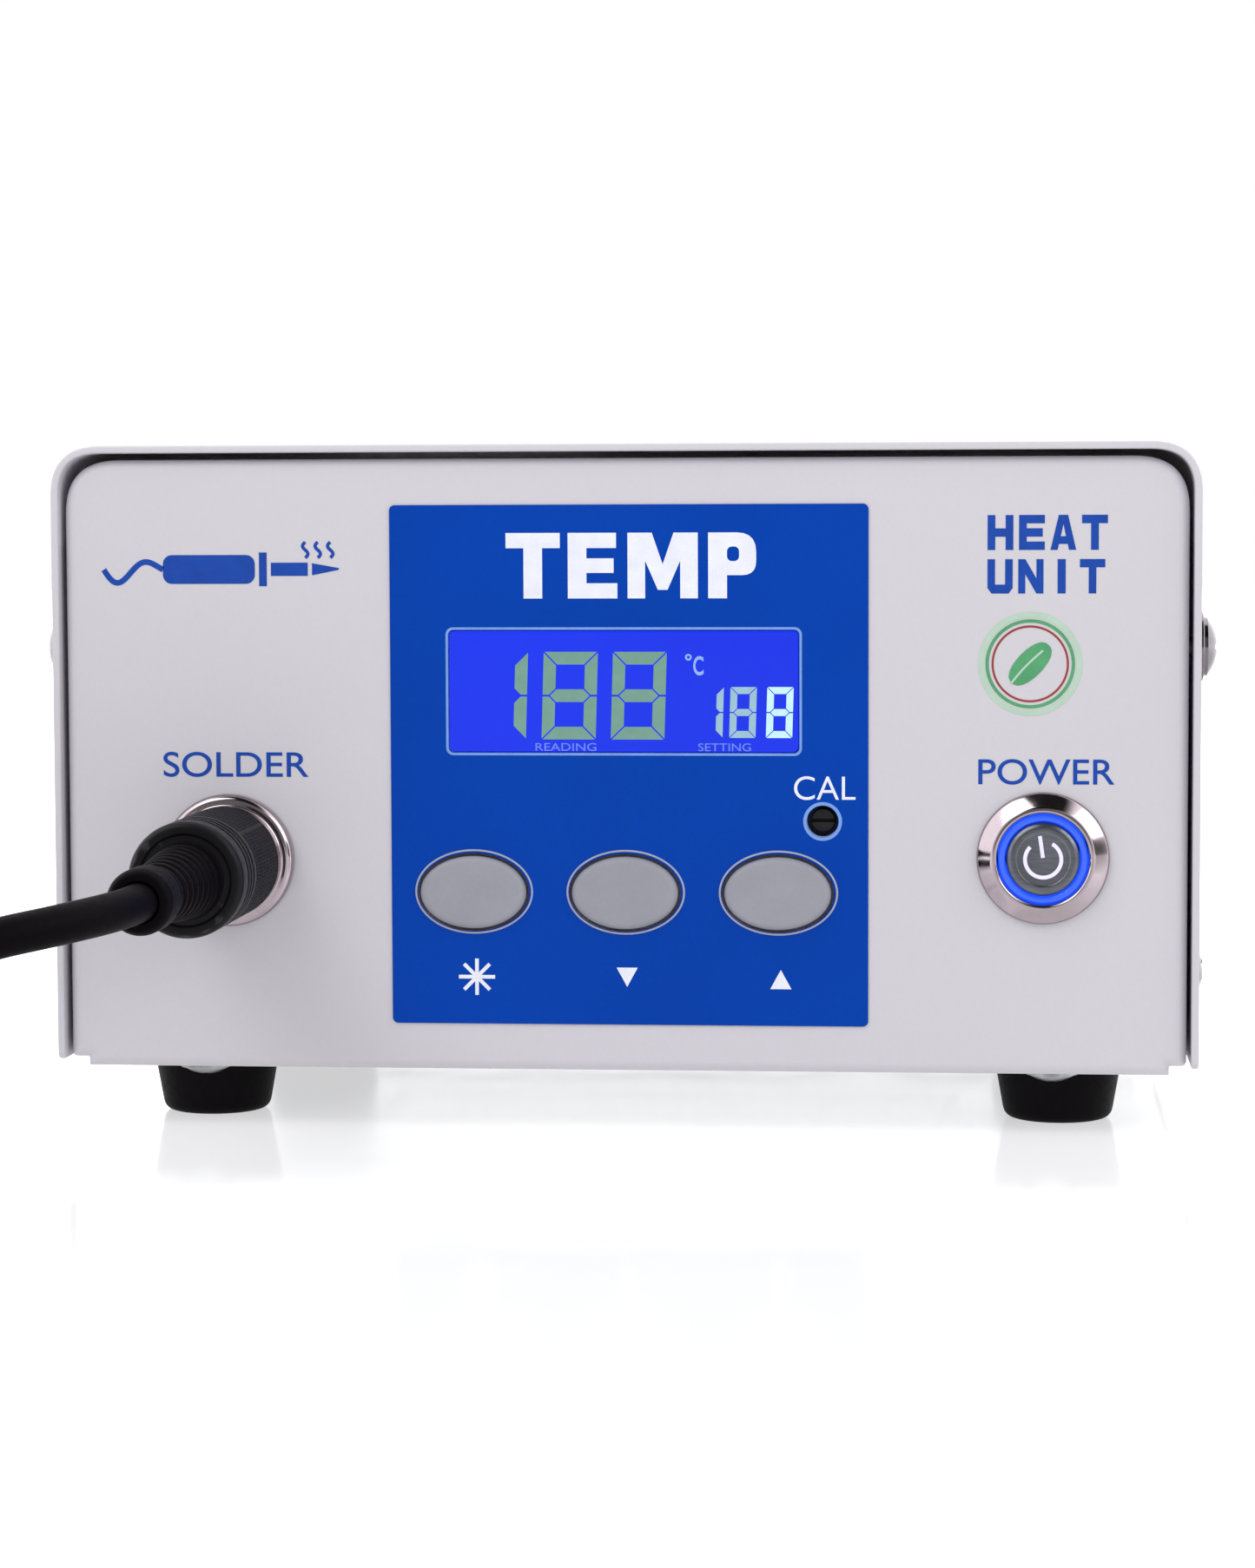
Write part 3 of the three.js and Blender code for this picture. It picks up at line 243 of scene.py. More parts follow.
def plate(outline, holes, front, back, edge=0.0, hole_edge=None, steps=3, rim=None):
    """A flat plate with holes, from y = front to y = back. Each edge is a quarter circle: at angle q it is
    edge (1 - sin q) inside the outline and edge (1 - cos q) behind the face. rim replaces the outer edge by a
    list of (grown by, y, y along the bottom)."""
    hole_edge = edge if hole_edge is None else hole_edge
    q = np.linspace(0, np.pi / 2, steps + 1)
    blocks, quads, first, last, at = [], [], [], [], 0
    for shape, size, sign in [(outline, edge, -1)] + [(hole, hole_edge, 1) for hole in holes]:
        inset = size * np.append(1.4, 1 - np.sin(q))
        depth = size * np.append(0.0, 1 - np.cos(q))
        levels = list(zip(inset, front + depth)) + list(zip(inset[::-1], back - depth[::-1]))
        if size == 0:
            levels = [levels[0], levels[-1]]
        if rim is not None and sign < 0:
            levels = [(-grow, y) for grow, y, _ in rim]
        loop = shape(0.0)
        ccw = np.sum(loop[:, 0] * np.roll(loop[:, 1], -1) - np.roll(loop[:, 0], -1) * loop[:, 1]) > 0
        loops = [shape(sign * grow)[:: 1 if ccw else -1] for grow, _ in levels]
        rings = np.stack([np.insert(ring, 1, y, axis=1) for ring, (_, y) in zip(loops, levels)])
        if rim is not None and sign < 0:
            lowest = rings[:, :, 2].min(axis=1, keepdims=True)
            bottom = np.array([y for _, _, y in rim])[:, None]
            rings[:, :, 1] = np.where(rings[:, :, 2] < lowest + 0.4, bottom, rings[:, :, 1])
        n = rings.shape[1]
        index = np.arange(len(levels) * n).reshape(-1, n) + at
        low, high = index[:-1], index[1:]
        wall = np.stack([low, high, np.roll(high, -1, 1), np.roll(low, -1, 1)], axis=-1).reshape(-1, 4)
        quads.append(wall if sign < 0 else wall[:, ::-1])
        first.append(index[0])
        last.append(index[-1])
        blocks.append(rings.reshape(-1, 3))
        at += len(levels) * n
    points = np.vstack(blocks)
    faces = tessellate_polygon([[Vector((points[i][0], points[i][2], 0)) for i in loop] for loop in first])
    faces = np.array(faces, int)
    fronts, backs = np.concatenate(first), np.concatenate(last)
    flat = points[fronts][:, [0, 2]][faces]
    u, v = flat[:, 1] - flat[:, 0], flat[:, 2] - flat[:, 0]
    turned_back = u[:, 0] * v[:, 1] - u[:, 1] * v[:, 0] < 0
    faces[turned_back] = faces[turned_back][:, ::-1]
    return points, np.vstack([fronts[faces], backs[faces][:, ::-1]]), np.vstack(quads)


def ribbon(points, width, front, back):
    """A flat strip of one width along a line in X and Z, as thick as from y = front to y = back."""
    line = np.insert(np.asarray(points, float), 1, (front + back) / 2, axis=1)
    half, deep = width / 2, (back - front) / 2
    section = [(-half, -deep), (half, -deep), (half, deep), (-half, deep)]
    return carried(line, section, up=(0, 1, 0))


def lettering(words, box, front, back, bold=0.0):
    """Words in the built-in typeface, fitted to box (x0, x1, z0, z1), from y = front to y = back."""
    curve = bpy.data.curves.new("words", "FONT")
    curve.body, curve.offset, curve.extrude = words, bold, 0.01
    carrier = bpy.data.objects.new("words", curve)
    mesh = bpy.data.meshes.new_from_object(carrier)
    welded = bmesh.new()
    welded.from_mesh(mesh)
    bmesh.ops.remove_doubles(welded, verts=welded.verts, dist=1e-5)
    bmesh.ops.triangulate(welded, faces=welded.faces)
    welded.to_mesh(mesh)
    welded.free()
    points, tris = np.empty(len(mesh.vertices) * 3), np.empty(len(mesh.polygons) * 3, np.int32)
    mesh.vertices.foreach_get("co", points)
    mesh.polygons.foreach_get("vertices", tris)
    bpy.data.objects.remove(carrier)
    bpy.data.curves.remove(curve)
    bpy.data.meshes.remove(mesh)
    points, tris = points.reshape(-1, 3), tris.reshape(-1, 3).astype(int)
    low, high = points.min(axis=0), points.max(axis=0)
    share = (points - low) / np.maximum(high - low, 1e-9)
    x0, x1, z0, z1 = box
    fitted = np.stack([
        x0 + share[:, 0] * (x1 - x0), back + share[:, 2] * (front - back), z0 + share[:, 1] * (z1 - z0),
    ], axis=-1)
    return outward(fitted, tris, NO_QUADS)


BLOCK_LETTERS = {
    "H": [[(0, 0), (0.3, 0), (0.3, 0.38), (0.7, 0.38), (0.7, 0), (1, 0), (1, 1), (0.7, 1), (0.7, 0.62),
           (0.3, 0.62), (0.3, 1), (0, 1)]],
    "E": [[(0, 0), (1, 0), (1, 0.24), (0.3, 0.24), (0.3, 0.38), (0.92, 0.38), (0.92, 0.62), (0.3, 0.62),
           (0.3, 0.76), (1, 0.76), (1, 1), (0, 1)]],
    "A": [[(0, 0), (0.28, 0), (0.33, 0.17), (0.67, 0.17), (0.72, 0), (1, 0), (0.68, 1), (0.32, 1)],
          [(0.4, 0.39), (0.6, 0.39), (0.5, 0.74)]],
    "T": [[(0.35, 0), (0.65, 0), (0.65, 0.76), (1, 0.76), (1, 1), (0, 1), (0, 0.76), (0.35, 0.76)]],
    "U": [[(0, 0.16), (0.16, 0), (0.84, 0), (1, 0.16), (1, 1), (0.7, 1), (0.7, 0.26), (0.3, 0.26), (0.3, 1),
           (0, 1)]],
    "N": [[(0, 0), (0.28, 0), (0.28, 0.56), (0.72, 0), (1, 0), (1, 1), (0.72, 1), (0.72, 0.44), (0.28, 1),
           (0, 1)]],
    "I": [[(0.34, 0), (0.66, 0), (0.66, 1), (0.34, 1)]],
}


def block_word(word, box, front, back):
    """A word in heavy capitals, each drawn in a unit square and stretched over an equal share of box."""
    x0, x1, z0, z1 = box
    gap = 0.18
    pitch = (x1 - x0) / (len(word) - gap)
    size = (pitch * (1 - gap), z1 - z0)
    letters = []
    for i, letter in enumerate(word):
        outer, *inner = (np.array(line) * size + (x0 + i * pitch, z0) for line in BLOCK_LETTERS[letter])
        letters.append(plate(polygon(*outer), [polygon(*line) for line in inner], front, back))
    return merged(*letters)


def put(name, shape, paint, body="root", stands_for=(), sharp=34):
    """One finished piece from a shape in millimetres, riding on its body. Triangles square to an axis are
    shaded flat, and the rest smooth."""
    points, tris, quads = shape
    mesh = bpy.data.meshes.new(name)
    mesh.from_pydata((points * MM).tolist(), [], tris.tolist() + quads.tolist())
    smooth = np.ptp(points[tris], axis=1).min(axis=1) > 1e-6
    mesh.polygons.foreach_set("use_smooth", np.append(smooth, np.ones(len(quads), bool)))
    mesh.set_sharp_from_angle(angle=math.radians(sharp))
    mesh.materials.append(paint)
    piece = bpy.data.objects.new(name, mesh)
    bpy.context.scene.collection.objects.link(piece)
    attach(piece, body)
    if stands_for:
        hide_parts(*stands_for)
    return piece


# ---------------------------------------------------------------- finishes


def linear(colour):
    """A colour from 0 to 255 a channel as the renderer's linear one."""
    c = np.asarray(colour, float) / 255
    return (*np.where(c <= 0.04045, c / 12.92, ((c + 0.055) / 1.055) ** 2.4).tolist(), 1.0)


def finish(
    name, colour, rough=0.5, metal=0.0, specular=0.5, shade=0.1, cloud=60.0, grain=900.0, bump=0.2, deep=0.02,
    spread=0.06, stretch=(1, 1, 1), coat=0.0, glow=None, wear=0.0, flecks=0.0,
):
    """A procedural finish. Broad noise mixes the colour with a darker one by shade, fine noise moves the
    roughness by spread and raises a grain deep millimetres high, stretched for brushed metal. wear lightens
    outer edges, and flecks strews pale specks."""
    if name in bpy.data.materials:
        return bpy.data.materials[name]
    paint = bpy.data.materials.new(name)
    paint.use_nodes = True
    nodes, link = paint.node_tree.nodes, paint.node_tree.links.new
    shader = nodes["Principled BSDF"]
    place, scale = nodes.new("ShaderNodeTexCoord"), nodes.new("ShaderNodeMapping")
    scale.inputs["Scale"].default_value = stretch
    link(place.outputs["Object"], scale.inputs["Vector"])
    broad, fine = nodes.new("ShaderNodeTexNoise"), nodes.new("ShaderNodeTexNoise")
    broad.inputs["Scale"].default_value = cloud
    broad.inputs["Detail"].default_value = 4
    fine.inputs["Scale"].default_value = grain
    fine.inputs["Detail"].default_value = 5
    link(place.outputs["Object"], broad.inputs["Vector"])
    link(scale.outputs["Vector"], fine.inputs["Vector"])

    def mixed(amount, first, second):
        mix = nodes.new("ShaderNodeMix")
        mix.data_type = "RGBA"
        for socket, value in ((mix.inputs[0], amount), (mix.inputs[6], first), (mix.inputs[7], second)):
            if isinstance(value, bpy.types.NodeSocket):
                link(value, socket)
            else:
                socket.default_value = value
        return mix.outputs[2]

    def ranged(value, low, high, to_low, to_high):
        node = nodes.new("ShaderNodeMapRange")
        for socket, number in zip(list(node.inputs)[1:5], (low, high, to_low, to_high)):
            socket.default_value = number
        link(value, node.inputs[0])
        return node.outputs[0]

    base = linear(colour)
    dark = (*(c * (1 - shade) for c in base[:3]), 1)
    tint = mixed(ranged(broad.outputs["Fac"], 0.35, 0.65, 0, 1), base, dark)
    tint = mixed(ranged(fine.outputs["Fac"], 0.4, 0.62, 0, shade), tint, (*(c * 0.55 for c in base[:3]), 1))
    if flecks:
        strewn = nodes.new("ShaderNodeTexVoronoi")
        strewn.inputs["Scale"].default_value = grain * 1.5
        link(place.outputs["Object"], strewn.inputs["Vector"])
        tint = mixed(ranged(strewn.outputs["Distance"], 0.0, 0.22, flecks, 0), tint, (0.8, 0.8, 0.82, 1))
    if wear:
        shape = nodes.new("ShaderNodeNewGeometry")
        worn = ranged(shape.outputs["Pointiness"], 0.52, 0.62, 0, wear)
        tint = mixed(worn, tint, (*(min(1, c * 1.6 + 0.1) for c in base[:3]), 1))
    link(tint, shader.inputs["Base Color"])
    link(ranged(fine.outputs["Fac"], 0.3, 0.7, max(rough - spread, 0.02), min(rough + spread, 1)),
         shader.inputs["Roughness"])
    raised = nodes.new("ShaderNodeBump")
    raised.inputs["Strength"].default_value = bump
    raised.inputs["Distance"].default_value = deep * MM
    link(fine.outputs["Fac"], raised.inputs["Height"])
    link(raised.outputs["Normal"], shader.inputs["Normal"])
    shader.inputs["Metallic"].default_value = metal
    shader.inputs["Specular IOR Level"].default_value = specular
    shader.inputs["Coat Weight"].default_value = coat
    shader.inputs["Coat Roughness"].default_value = 0.08
    if glow is not None:
        light, strength = glow
        bright = linear(light)
        dim = (*(c * 0.6 for c in bright[:3]), 1)
        lit = mixed(ranged(broad.outputs["Fac"], 0.3, 0.7, 0, 0.22), bright, dim)
        link(lit, shader.inputs["Emission Color"])
        shader.inputs["Emission Strength"].default_value = strength
    return paint


# ---------------------------------------------------------------- what a user may change


def length_property(name, description, default, low, high):
    """A length in metres."""
    return FloatProperty(
        name=name, description=description, default=default, min=low, max=high, unit="LENGTH",
    )


def colour_property(name, description, colour):
    """A colour, given from 0 to 255 a channel."""
    return FloatVectorProperty(
        name=name, description=description, subtype="COLOR", size=3, min=0, max=1,
        default=tuple(c / 255 for c in colour),
    )


class StationSizes(bpy.types.PropertyGroup):
    """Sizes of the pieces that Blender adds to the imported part."""

    foot_round: length_property("Foot rounding", "Radius of the feet's lower edge", 0.0018, 0.0002, 0.003)
    washer_radius: length_property("Washer radius", "Washer under a cover screw", 0.0058, 0.005, 0.007)
    recess_depth: length_property("Recess depth", "Cross in a screw's head", 0.0012, 0.0003, 0.002)
    print_height: length_property("Print height", "Thickness of printed marks", 0.00005, 0.00002, 0.0002)
    key_round: length_property("Key rounding", "Radius of the keys' front edge", 0.0010, 0.0002, 0.0013)
    knurl_depth: length_property("Knurl depth", "Knurl of the coupling nut", 0.00028, 0.0, 0.0005)
    knurl_teeth: IntProperty(
        name="Knurl teeth", description="Teeth round the coupling nut", default=52, min=24, max=80,
    )
    tie_width: length_property("Tie width", "Width of the strap round the coil", 0.005, 0.002, 0.01)
    cord_length: length_property("Cord length", "Length of the iron's cord", 1.1, 1.0, 1.2)


class StationColours(bpy.types.PropertyGroup):
    """Colours of the visible finishes."""

    case: colour_property("Case", "Powder coat of the case", (194, 191, 198))
    label: colour_property("Label", "Printed film of the control panel", (2, 60, 160))
    marks: colour_property("Marks", "Print on the label", (222, 224, 236))
    print_blue: colour_property("Blue print", "Print on the case", (22, 68, 160))
    display: colour_property("Display", "Lit ground of the display", (30, 58, 248))
    keys: colour_property("Keys", "Moulded keys", (144, 144, 153))
    light: colour_property("Switch light", "Ring round the power button", (34, 84, 255))
    rubber: colour_property("Rubber", "Feet, boots and cord", (11, 8, 11))


def bytes_of(colour):
    """A colour property's channels from 0 to 255."""
    return tuple(255 * c for c in colour)


def finishes(colours):
    """The finish of each material slot of the record, by slot."""
    rubber = bytes_of(colours.rubber)
    return {
        "painted_case": finish(
            "Powder coat", bytes_of(colours.case), 0.46, specular=0.3, shade=0.03, cloud=9, grain=1500,
            bump=0.35, deep=0.03),
        "zinc_steel": finish("Zinc plate", (168, 170, 172), 0.34, 1.0, shade=0.2, cloud=120, grain=500),
        "chrome": finish(
            "Bright chrome", (170, 158, 163), 0.1, 1.0, shade=0.08, cloud=70, grain=700, bump=0.05,
            spread=0.04),
        "button_steel": finish(
            "Brushed steel", (116, 118, 126), 0.34, 1.0, shade=0.35, cloud=90, grain=260, bump=0.5, deep=0.03,
            stretch=(1, 1, 14)),
        "iron_steel": finish(
            "Heat-worn steel", (160, 150, 138), 0.32, 1.0, shade=0.45, cloud=45, grain=600, bump=0.3),
        "label_film": finish(
            "Label film", bytes_of(colours.label), 0.38, specular=0.05, shade=0.08, cloud=25, grain=1800,
            bump=0.15),
        "display_glass": finish(
            "Display pane", (2, 6, 50), 0.12, specular=0.12, cloud=30, grain=300, bump=0.02, coat=0.05,
            glow=(bytes_of(colours.display), 0.92)),
        "display_body": finish("Display body", (50, 60, 160), 0.4, shade=0.2, cloud=80),
        "light_ring": finish(
            "Light guide", (20, 50, 200), 0.2, cloud=160, coat=0.3, glow=(bytes_of(colours.light), 1.0)),
        "key_plastic": finish(
            "Key plastic", bytes_of(colours.keys), 0.5, specular=0.25, shade=0.06, cloud=150, grain=1700,
            bump=0.3, deep=0.03),
        "black_plastic": finish(
            "Black plastic", (17, 15, 18), 0.42, specular=0.13, shade=0.25, cloud=110, grain=1500, bump=0.35,
            deep=0.03, wear=0.2),
        "trimmer_blue": finish("Trimmer blue", (40, 90, 168), 0.45, shade=0.15, cloud=200),
        "foot_rubber": finish(
            "Foot rubber", rubber, 0.55, specular=0.06, shade=0.25, cloud=90, grain=1300, bump=0.4, deep=0.04,
            wear=0.2),
        "cord_rubber": finish(
            "Cord rubber", rubber, 0.5, specular=0.03, shade=0.2, cloud=70, grain=1100, bump=0.3, deep=0.03),
        "grip_rubber": finish(
            "Grip rubber", (22, 64, 168), 0.6, specular=0.3, shade=0.2, cloud=80, bump=0.5, deep=0.05),
        "circuit_board": finish("Circuit board", (30, 92, 54), 0.4, shade=0.3, cloud=180, flecks=0.4),
        "brass_pin": finish("Brass", (196, 168, 104), 0.25, 1.0, shade=0.2, cloud=160),
        "fuse_glass": finish(
            "Fuse glass", (190, 200, 205), 0.12, specular=0.6, shade=0.15, cloud=220, coat=0.4),
        "core_steel": finish(
            "Core laminations", (110, 108, 112), 0.45, 1.0, shade=0.4, grain=260, bump=0.6, deep=0.08,
            stretch=(1, 18, 1)),
        "winding_tape": finish(
            "Winding tape", (206, 186, 96), 0.42, shade=0.15, grain=240, bump=0.3, stretch=(1, 1, 9)),
        "sink_aluminium": finish(
            "Aluminium", (178, 180, 184), 0.36, 1.0, shade=0.15, grain=320, bump=0.3, stretch=(1, 1, 10)),
        "capacitor_sleeve": finish("Capacitor sleeve", (38, 42, 66), 0.35, shade=0.15, cloud=120),
    }


def paints():
    """The finishes of the record's slots in the colours set in the sidebar."""
    return finishes(bpy.context.scene.station_colours)


def ink(name, colour, rough=0.5, shade=0.1, cloud=260):
    """A matt printed colour."""
    return finish(name, colour, rough, specular=0.15, shade=shade, cloud=cloud, grain=2500)


def lit_mark(name, colour, light, strength=0.95, shade=0.1):
    """A small glowing mark."""
    return finish(name, colour, 0.3, shade=shade, cloud=500, glow=(light, strength))


def mark_paints():
    """The finishes of printed and lit marks and of the keys' grey rims, which the record has no slots for."""
    colours = bpy.context.scene.station_colours
    return {
        "white": ink("White print", bytes_of(colours.marks), shade=0.08, cloud=300),
        "pale": ink("Pale blue print", (112, 150, 214), cloud=300),
        # grey: the rims round the keys, partly the metal edge's own grey and partly a painted edge highlight.
        "grey": ink("Grey rim and highlight", (160, 162, 178), cloud=300),
        "blue": ink("Blue print", bytes_of(colours.print_blue), shade=0.12),
        "green": ink("Green print", (84, 156, 108), shade=0.15),
        "halo": ink("Pale green print", (172, 196, 178), rough=0.55, shade=0.06),
        "red": ink("Red print", (150, 62, 52), shade=0.12),
        "digit": lit_mark("Dim segments", (10, 20, 20), (122, 168, 152), 0.9),
        "small": lit_mark("Grey segments", (10, 14, 30), (158, 198, 214), 0.98),
        "bright": lit_mark("Bright segments", (20, 30, 30), (205, 246, 255), 1.0),
        "degree": lit_mark("Degree segments", (30, 40, 60), (150, 182, 240)),
        "caption": lit_mark("Display captions", (8, 14, 60), (112, 140, 238)),
        "symbol": lit_mark("Lit symbol", (60, 60, 90), (232, 226, 255), 1.1, 0.05),
    }


# ---------------------------------------------------------------- camera, light and floor


def aim_camera():
    """A long lens just above the table, a little to the right of the middle, turned towards the left."""
    yaw, pitch, roll = math.radians(5.221), math.radians(4.129), math.radians(-0.208)
    forward = Vector((-math.sin(yaw) * math.cos(pitch), math.cos(yaw) * math.cos(pitch), -math.sin(pitch)))
    level = Vector((math.cos(yaw), math.sin(yaw), 0))
    above = level.cross(forward)
    right = math.cos(roll) * level + math.sin(roll) * above
    up = math.cos(roll) * above - math.sin(roll) * level
    lens = bpy.data.cameras.new("View")
    lens.lens, lens.sensor_width, lens.sensor_fit = 89.41, 36, "AUTO"
    camera = bpy.data.objects.new("View", lens)
    turn = Matrix((right, up, -forward)).transposed().to_4x4()
    camera.matrix_world = Matrix.Translation((0.0596, -0.7163, 0.0928)) @ turn
    bpy.context.scene.collection.objects.link(camera)
    bpy.context.scene.camera = camera


def light_world():
    """An even white surround. What mirrors see of it is darker in front of the case, behind the camera, so
    that bright metal has something to reflect."""
    world = bpy.data.worlds.new("Studio")
    bpy.context.scene.world = world
    world.use_nodes = True
    nodes, link = world.node_tree.nodes, world.node_tree.links.new
    shader = nodes["Background"]
    place, rays = nodes.new("ShaderNodeTexCoord"), nodes.new("ShaderNodeLightPath")

    def patch(direction, near, far, low, high):
        aim = nodes.new("ShaderNodeVectorMath")
        aim.operation = "DOT_PRODUCT"
        aim.inputs[1].default_value = Vector(direction).normalized()
        link(place.outputs["Generated"], aim.inputs[0])
        node = nodes.new("ShaderNodeMapRange")
        node.interpolation_type = "SMOOTHSTEP"
        for socket, number in zip(list(node.inputs)[1:5], (near, far, low, high)):
            socket.default_value = number
        link(aim.outputs["Value"], node.inputs[0])
        return node.outputs[0]

    def combined(operation, first, second):
        node = nodes.new("ShaderNodeMath")
        node.operation = operation
        for socket, value in zip(node.inputs, (first, second)):
            if isinstance(value, bpy.types.NodeSocket):
                link(value, socket)
            else:
                socket.default_value = value
        return node.outputs[0]

    room = patch((0, -1, 0.1), 0.55, 0.95, 1.0, 0.12)
    overhead = patch((0, -0.44, 0.9), 0.8, 0.93, 1.0, 0.01)
    corner = patch((0.9, -0.44, 0.05), 0.95, 0.99, 1.0, 0.1)
    seen = combined("MULTIPLY", combined("MULTIPLY", room, overhead), corner)
    bright = combined("MULTIPLY", seen, 2.2)
    mirrored = combined("MULTIPLY", bright, rays.outputs["Is Glossy Ray"])
    plain = combined("SUBTRACT", 1.0, rays.outputs["Is Glossy Ray"])
    link(combined("ADD", mirrored, plain), shader.inputs["Strength"])
    shader.inputs["Color"].default_value = (1, 1, 1, 1)


def add_light(name, place, target, size, power):
    """A soft rectangular light at place, aimed at target."""
    lamp = bpy.data.lights.new(name, "AREA")
    lamp.shape, lamp.size, lamp.size_y, lamp.energy = "RECTANGLE", size[0], size[1], power
    lamp.use_shadow = True
    lamp_object = bpy.data.objects.new(name, lamp)
    aim = (Vector(target) - Vector(place)).to_track_quat("-Z", "Y")
    lamp_object.matrix_world = Matrix.Translation(place) @ aim.to_matrix().to_4x4()
    bpy.context.scene.collection.objects.link(lamp_object)


def make_floor():
    """A pale table whose polish gives a faint, soft reflection."""
    side, rise = 4000.0, 24
    floor_plate = plate(box_outline(-side, side, -side, side, 40), [], 0, rise, edge=6)
    lying = Matrix.Translation((0, 0, FLOOR)) @ Matrix.Rotation(-math.pi / 2, 4, "X")
    points, tris, quads = placed(floor_plate, lying)
    mesh = bpy.data.meshes.new("Table_top")
    mesh.from_pydata((points * MM).tolist(), [], tris.tolist() + quads.tolist())
    mesh.materials.append(finish(
        "Pale table", (188, 188, 189), 0.1, specular=0.6, shade=0.01, cloud=3, grain=60, bump=0.01,
        spread=0.03, glow=((250, 250, 251), 0.62)))
    floor = bpy.data.objects.new("Table_top", mesh)
    bpy.context.scene.collection.objects.link(floor)


# ---------------------------------------------------------------- cord


CORD_RADIUS = 3.0
COIL = (-165.0, -138.0)
COIL_ROWS = (31.0, 37.1)
COIL_LAYERS = (-8.7, -2.6, 3.5)


def coil_points():
    """The coil's line: at angle s, clockwise from the front, x = X - r sin s and y = Y - r cos s. It starts
    on top of the outer row, and steps down, in, down and out again at one place in each turn."""
    s = np.radians(np.arange(0, 1531, 18.0))

    def step(turn, begins, ends):
        t = np.clip((np.degrees(s) - 360 * turn - begins) / (ends - begins), 0, 1)
        return t * t * (3 - 2 * t)

    inner, outer = COIL_ROWS
    low, middle, high = COIL_LAYERS
    radius = outer + (inner - outer) * (step(1, 190, 230) - step(3, 105, 150))
    height = high + (middle - high) * step(0, 230, 270) + (low - middle) * step(2, 150, 190)
    return np.stack([COIL[0] - radius * np.sin(s), COIL[1] - radius * np.cos(s), height], axis=-1)


def cord_line():
    """The cord's whole line, from inside the plug's boot to inside the iron's."""
    leaving = [
        (-65.6, -140.4, 33.6), (-65.6, -148.1, 33.6), (-66.4, -155, 33.4), (-69, -162, 33),
        (-74, -168.5, 32.2), (-81, -173.6, 30.9), (-90, -177, 28.4), (-100, -178.6, 24.2),
        (-110, -179, 18.9), (-120, -178.6, 13.2), (-130, -177.9, 8.4), (-139, -177, 5),
        (-148, -176.5, 4.0), (-156.5, -175.7, 3.6),
    ]
    arriving = [
        (-202.15, -126, -8.7), (-202.2, -114, -8.7), (-202.3, -108, -8.6), (-202.3, -102, -7.2),
        (-202.2, -96, -4.2), (-202.2, -90, -1.7), (-202.2, -85, -0.7), (-202.2, -79, -0.7),
    ]
    return smooth_line(np.vstack([leaving, coil_points(), arriving]), 5)


def tie_shape(width):
    """A strap round the coil's four lengths: a rounded rectangle about the bundle, as a flat band."""
    s, strap, rounding = math.radians(315), 0.75, 0.25
    outline = box_outline(27.6, 40.5, FLOOR, 1.0, 3.4, steps=8)
    loops = [outline(grow) for grow in (0.0, strap)]
    edges = [(0, rounding - width / 2), (1, -width / 2), (1, width / 2), (0, width / 2 - rounding)]
    r = np.stack([loops[i][:, 0] for i, _ in edges], axis=1)
    z = np.maximum(np.stack([loops[i][:, 1] for i, _ in edges], axis=1), FLOOR)
    w = np.array([at for _, at in edges])[None] + 0 * r
    x = COIL[0] - r * math.sin(s) + w * math.cos(s)
    y = COIL[1] - r * math.cos(s) - w * math.sin(s)
    band = lofted(np.stack([x, y, z], axis=-1), looped=True)
    head_r, head_z = 34.2, 1.9
    block = plate(box_outline(-3.1, 3.1, -1.2, 1.2, 0.7), [], -width / 2 - 0.7, width / 2 + 0.7, edge=0.5)
    place = (COIL[0] - head_r * math.sin(s), COIL[1] - head_r * math.cos(s), head_z)
    turn = Matrix.Translation(place) @ Matrix.Rotation(math.pi / 2 - s, 4, "Z")
    return merged(band, placed(block, turn))


def make_cord():
    """The iron's cord as a round section carried along its line, and the tie round its coil."""
    paint = paints()
    sizes = bpy.context.scene.station_sizes
    line = cord_line()
    tube = carried(line, round_section(CORD_RADIUS, 18))
    cord = put("Iron_cord", tube, paint["cord_rubber"],
               stands_for=("iron_cord", "iron_cord_coil", "iron_cord_tail"), sharp=60)
    tie = put("Coil_tie", tie_shape(sizes.tie_width / MM), paint["black_plastic"])


# ---------------------------------------------------------------- case


def pressed_panel(holes):
    """A panel bent from sheet, facing the front: its edge turns back through a quarter circle into flanges,
    the lower one shorter, and its lower corners are notched. Each row of the rim is how far the outline is
    grown, the y there, and the y along the bottom."""
    bend, sheet, deep, low = 1.8, 1.5, 14.0, 10.4
    q = np.linspace(0, np.pi / 2, 8)
    outer = np.stack([-bend * (1 - np.sin(q)), bend * (1 - np.cos(q)), bend * (1 - np.cos(q))], axis=-1)
    inner_y = sheet + 0.4 * (1 - np.sin(q))
    inner = np.stack([-sheet - 0.4 * (1 - np.cos(q)), inner_y, inner_y], axis=-1)
    flange = [
        (0, deep - 0.2, low - 0.2), (-0.2, deep, low), (-sheet + 0.2, deep, low),
        (-sheet, deep - 0.2, low - 0.2),
    ]
    face_edge, back_edge = [(-bend - 0.5, 0, 0)], [(-sheet - 0.9, sheet, sheet)]
    rim = np.vstack([face_edge, outer, flange, inner, back_edge]) + (0, FRONT, FRONT)
    half, top, bottom, notch = 93.1, 100.2, -1.5, 2.8
    outline = cornered(
        (notch - half, bottom, 0.2), (half - notch, bottom, 0.2), (half - notch, 0, 0.2), (half, 0, 0.9),
        (half, top, 8.9), (-half, top, 8.9), (-half, 0, 0.9), (notch - half, 0, 0.2), steps=12,
    )
    return plate(outline, holes, FRONT, FRONT + sheet, hole_edge=0.2, rim=rim.tolist())


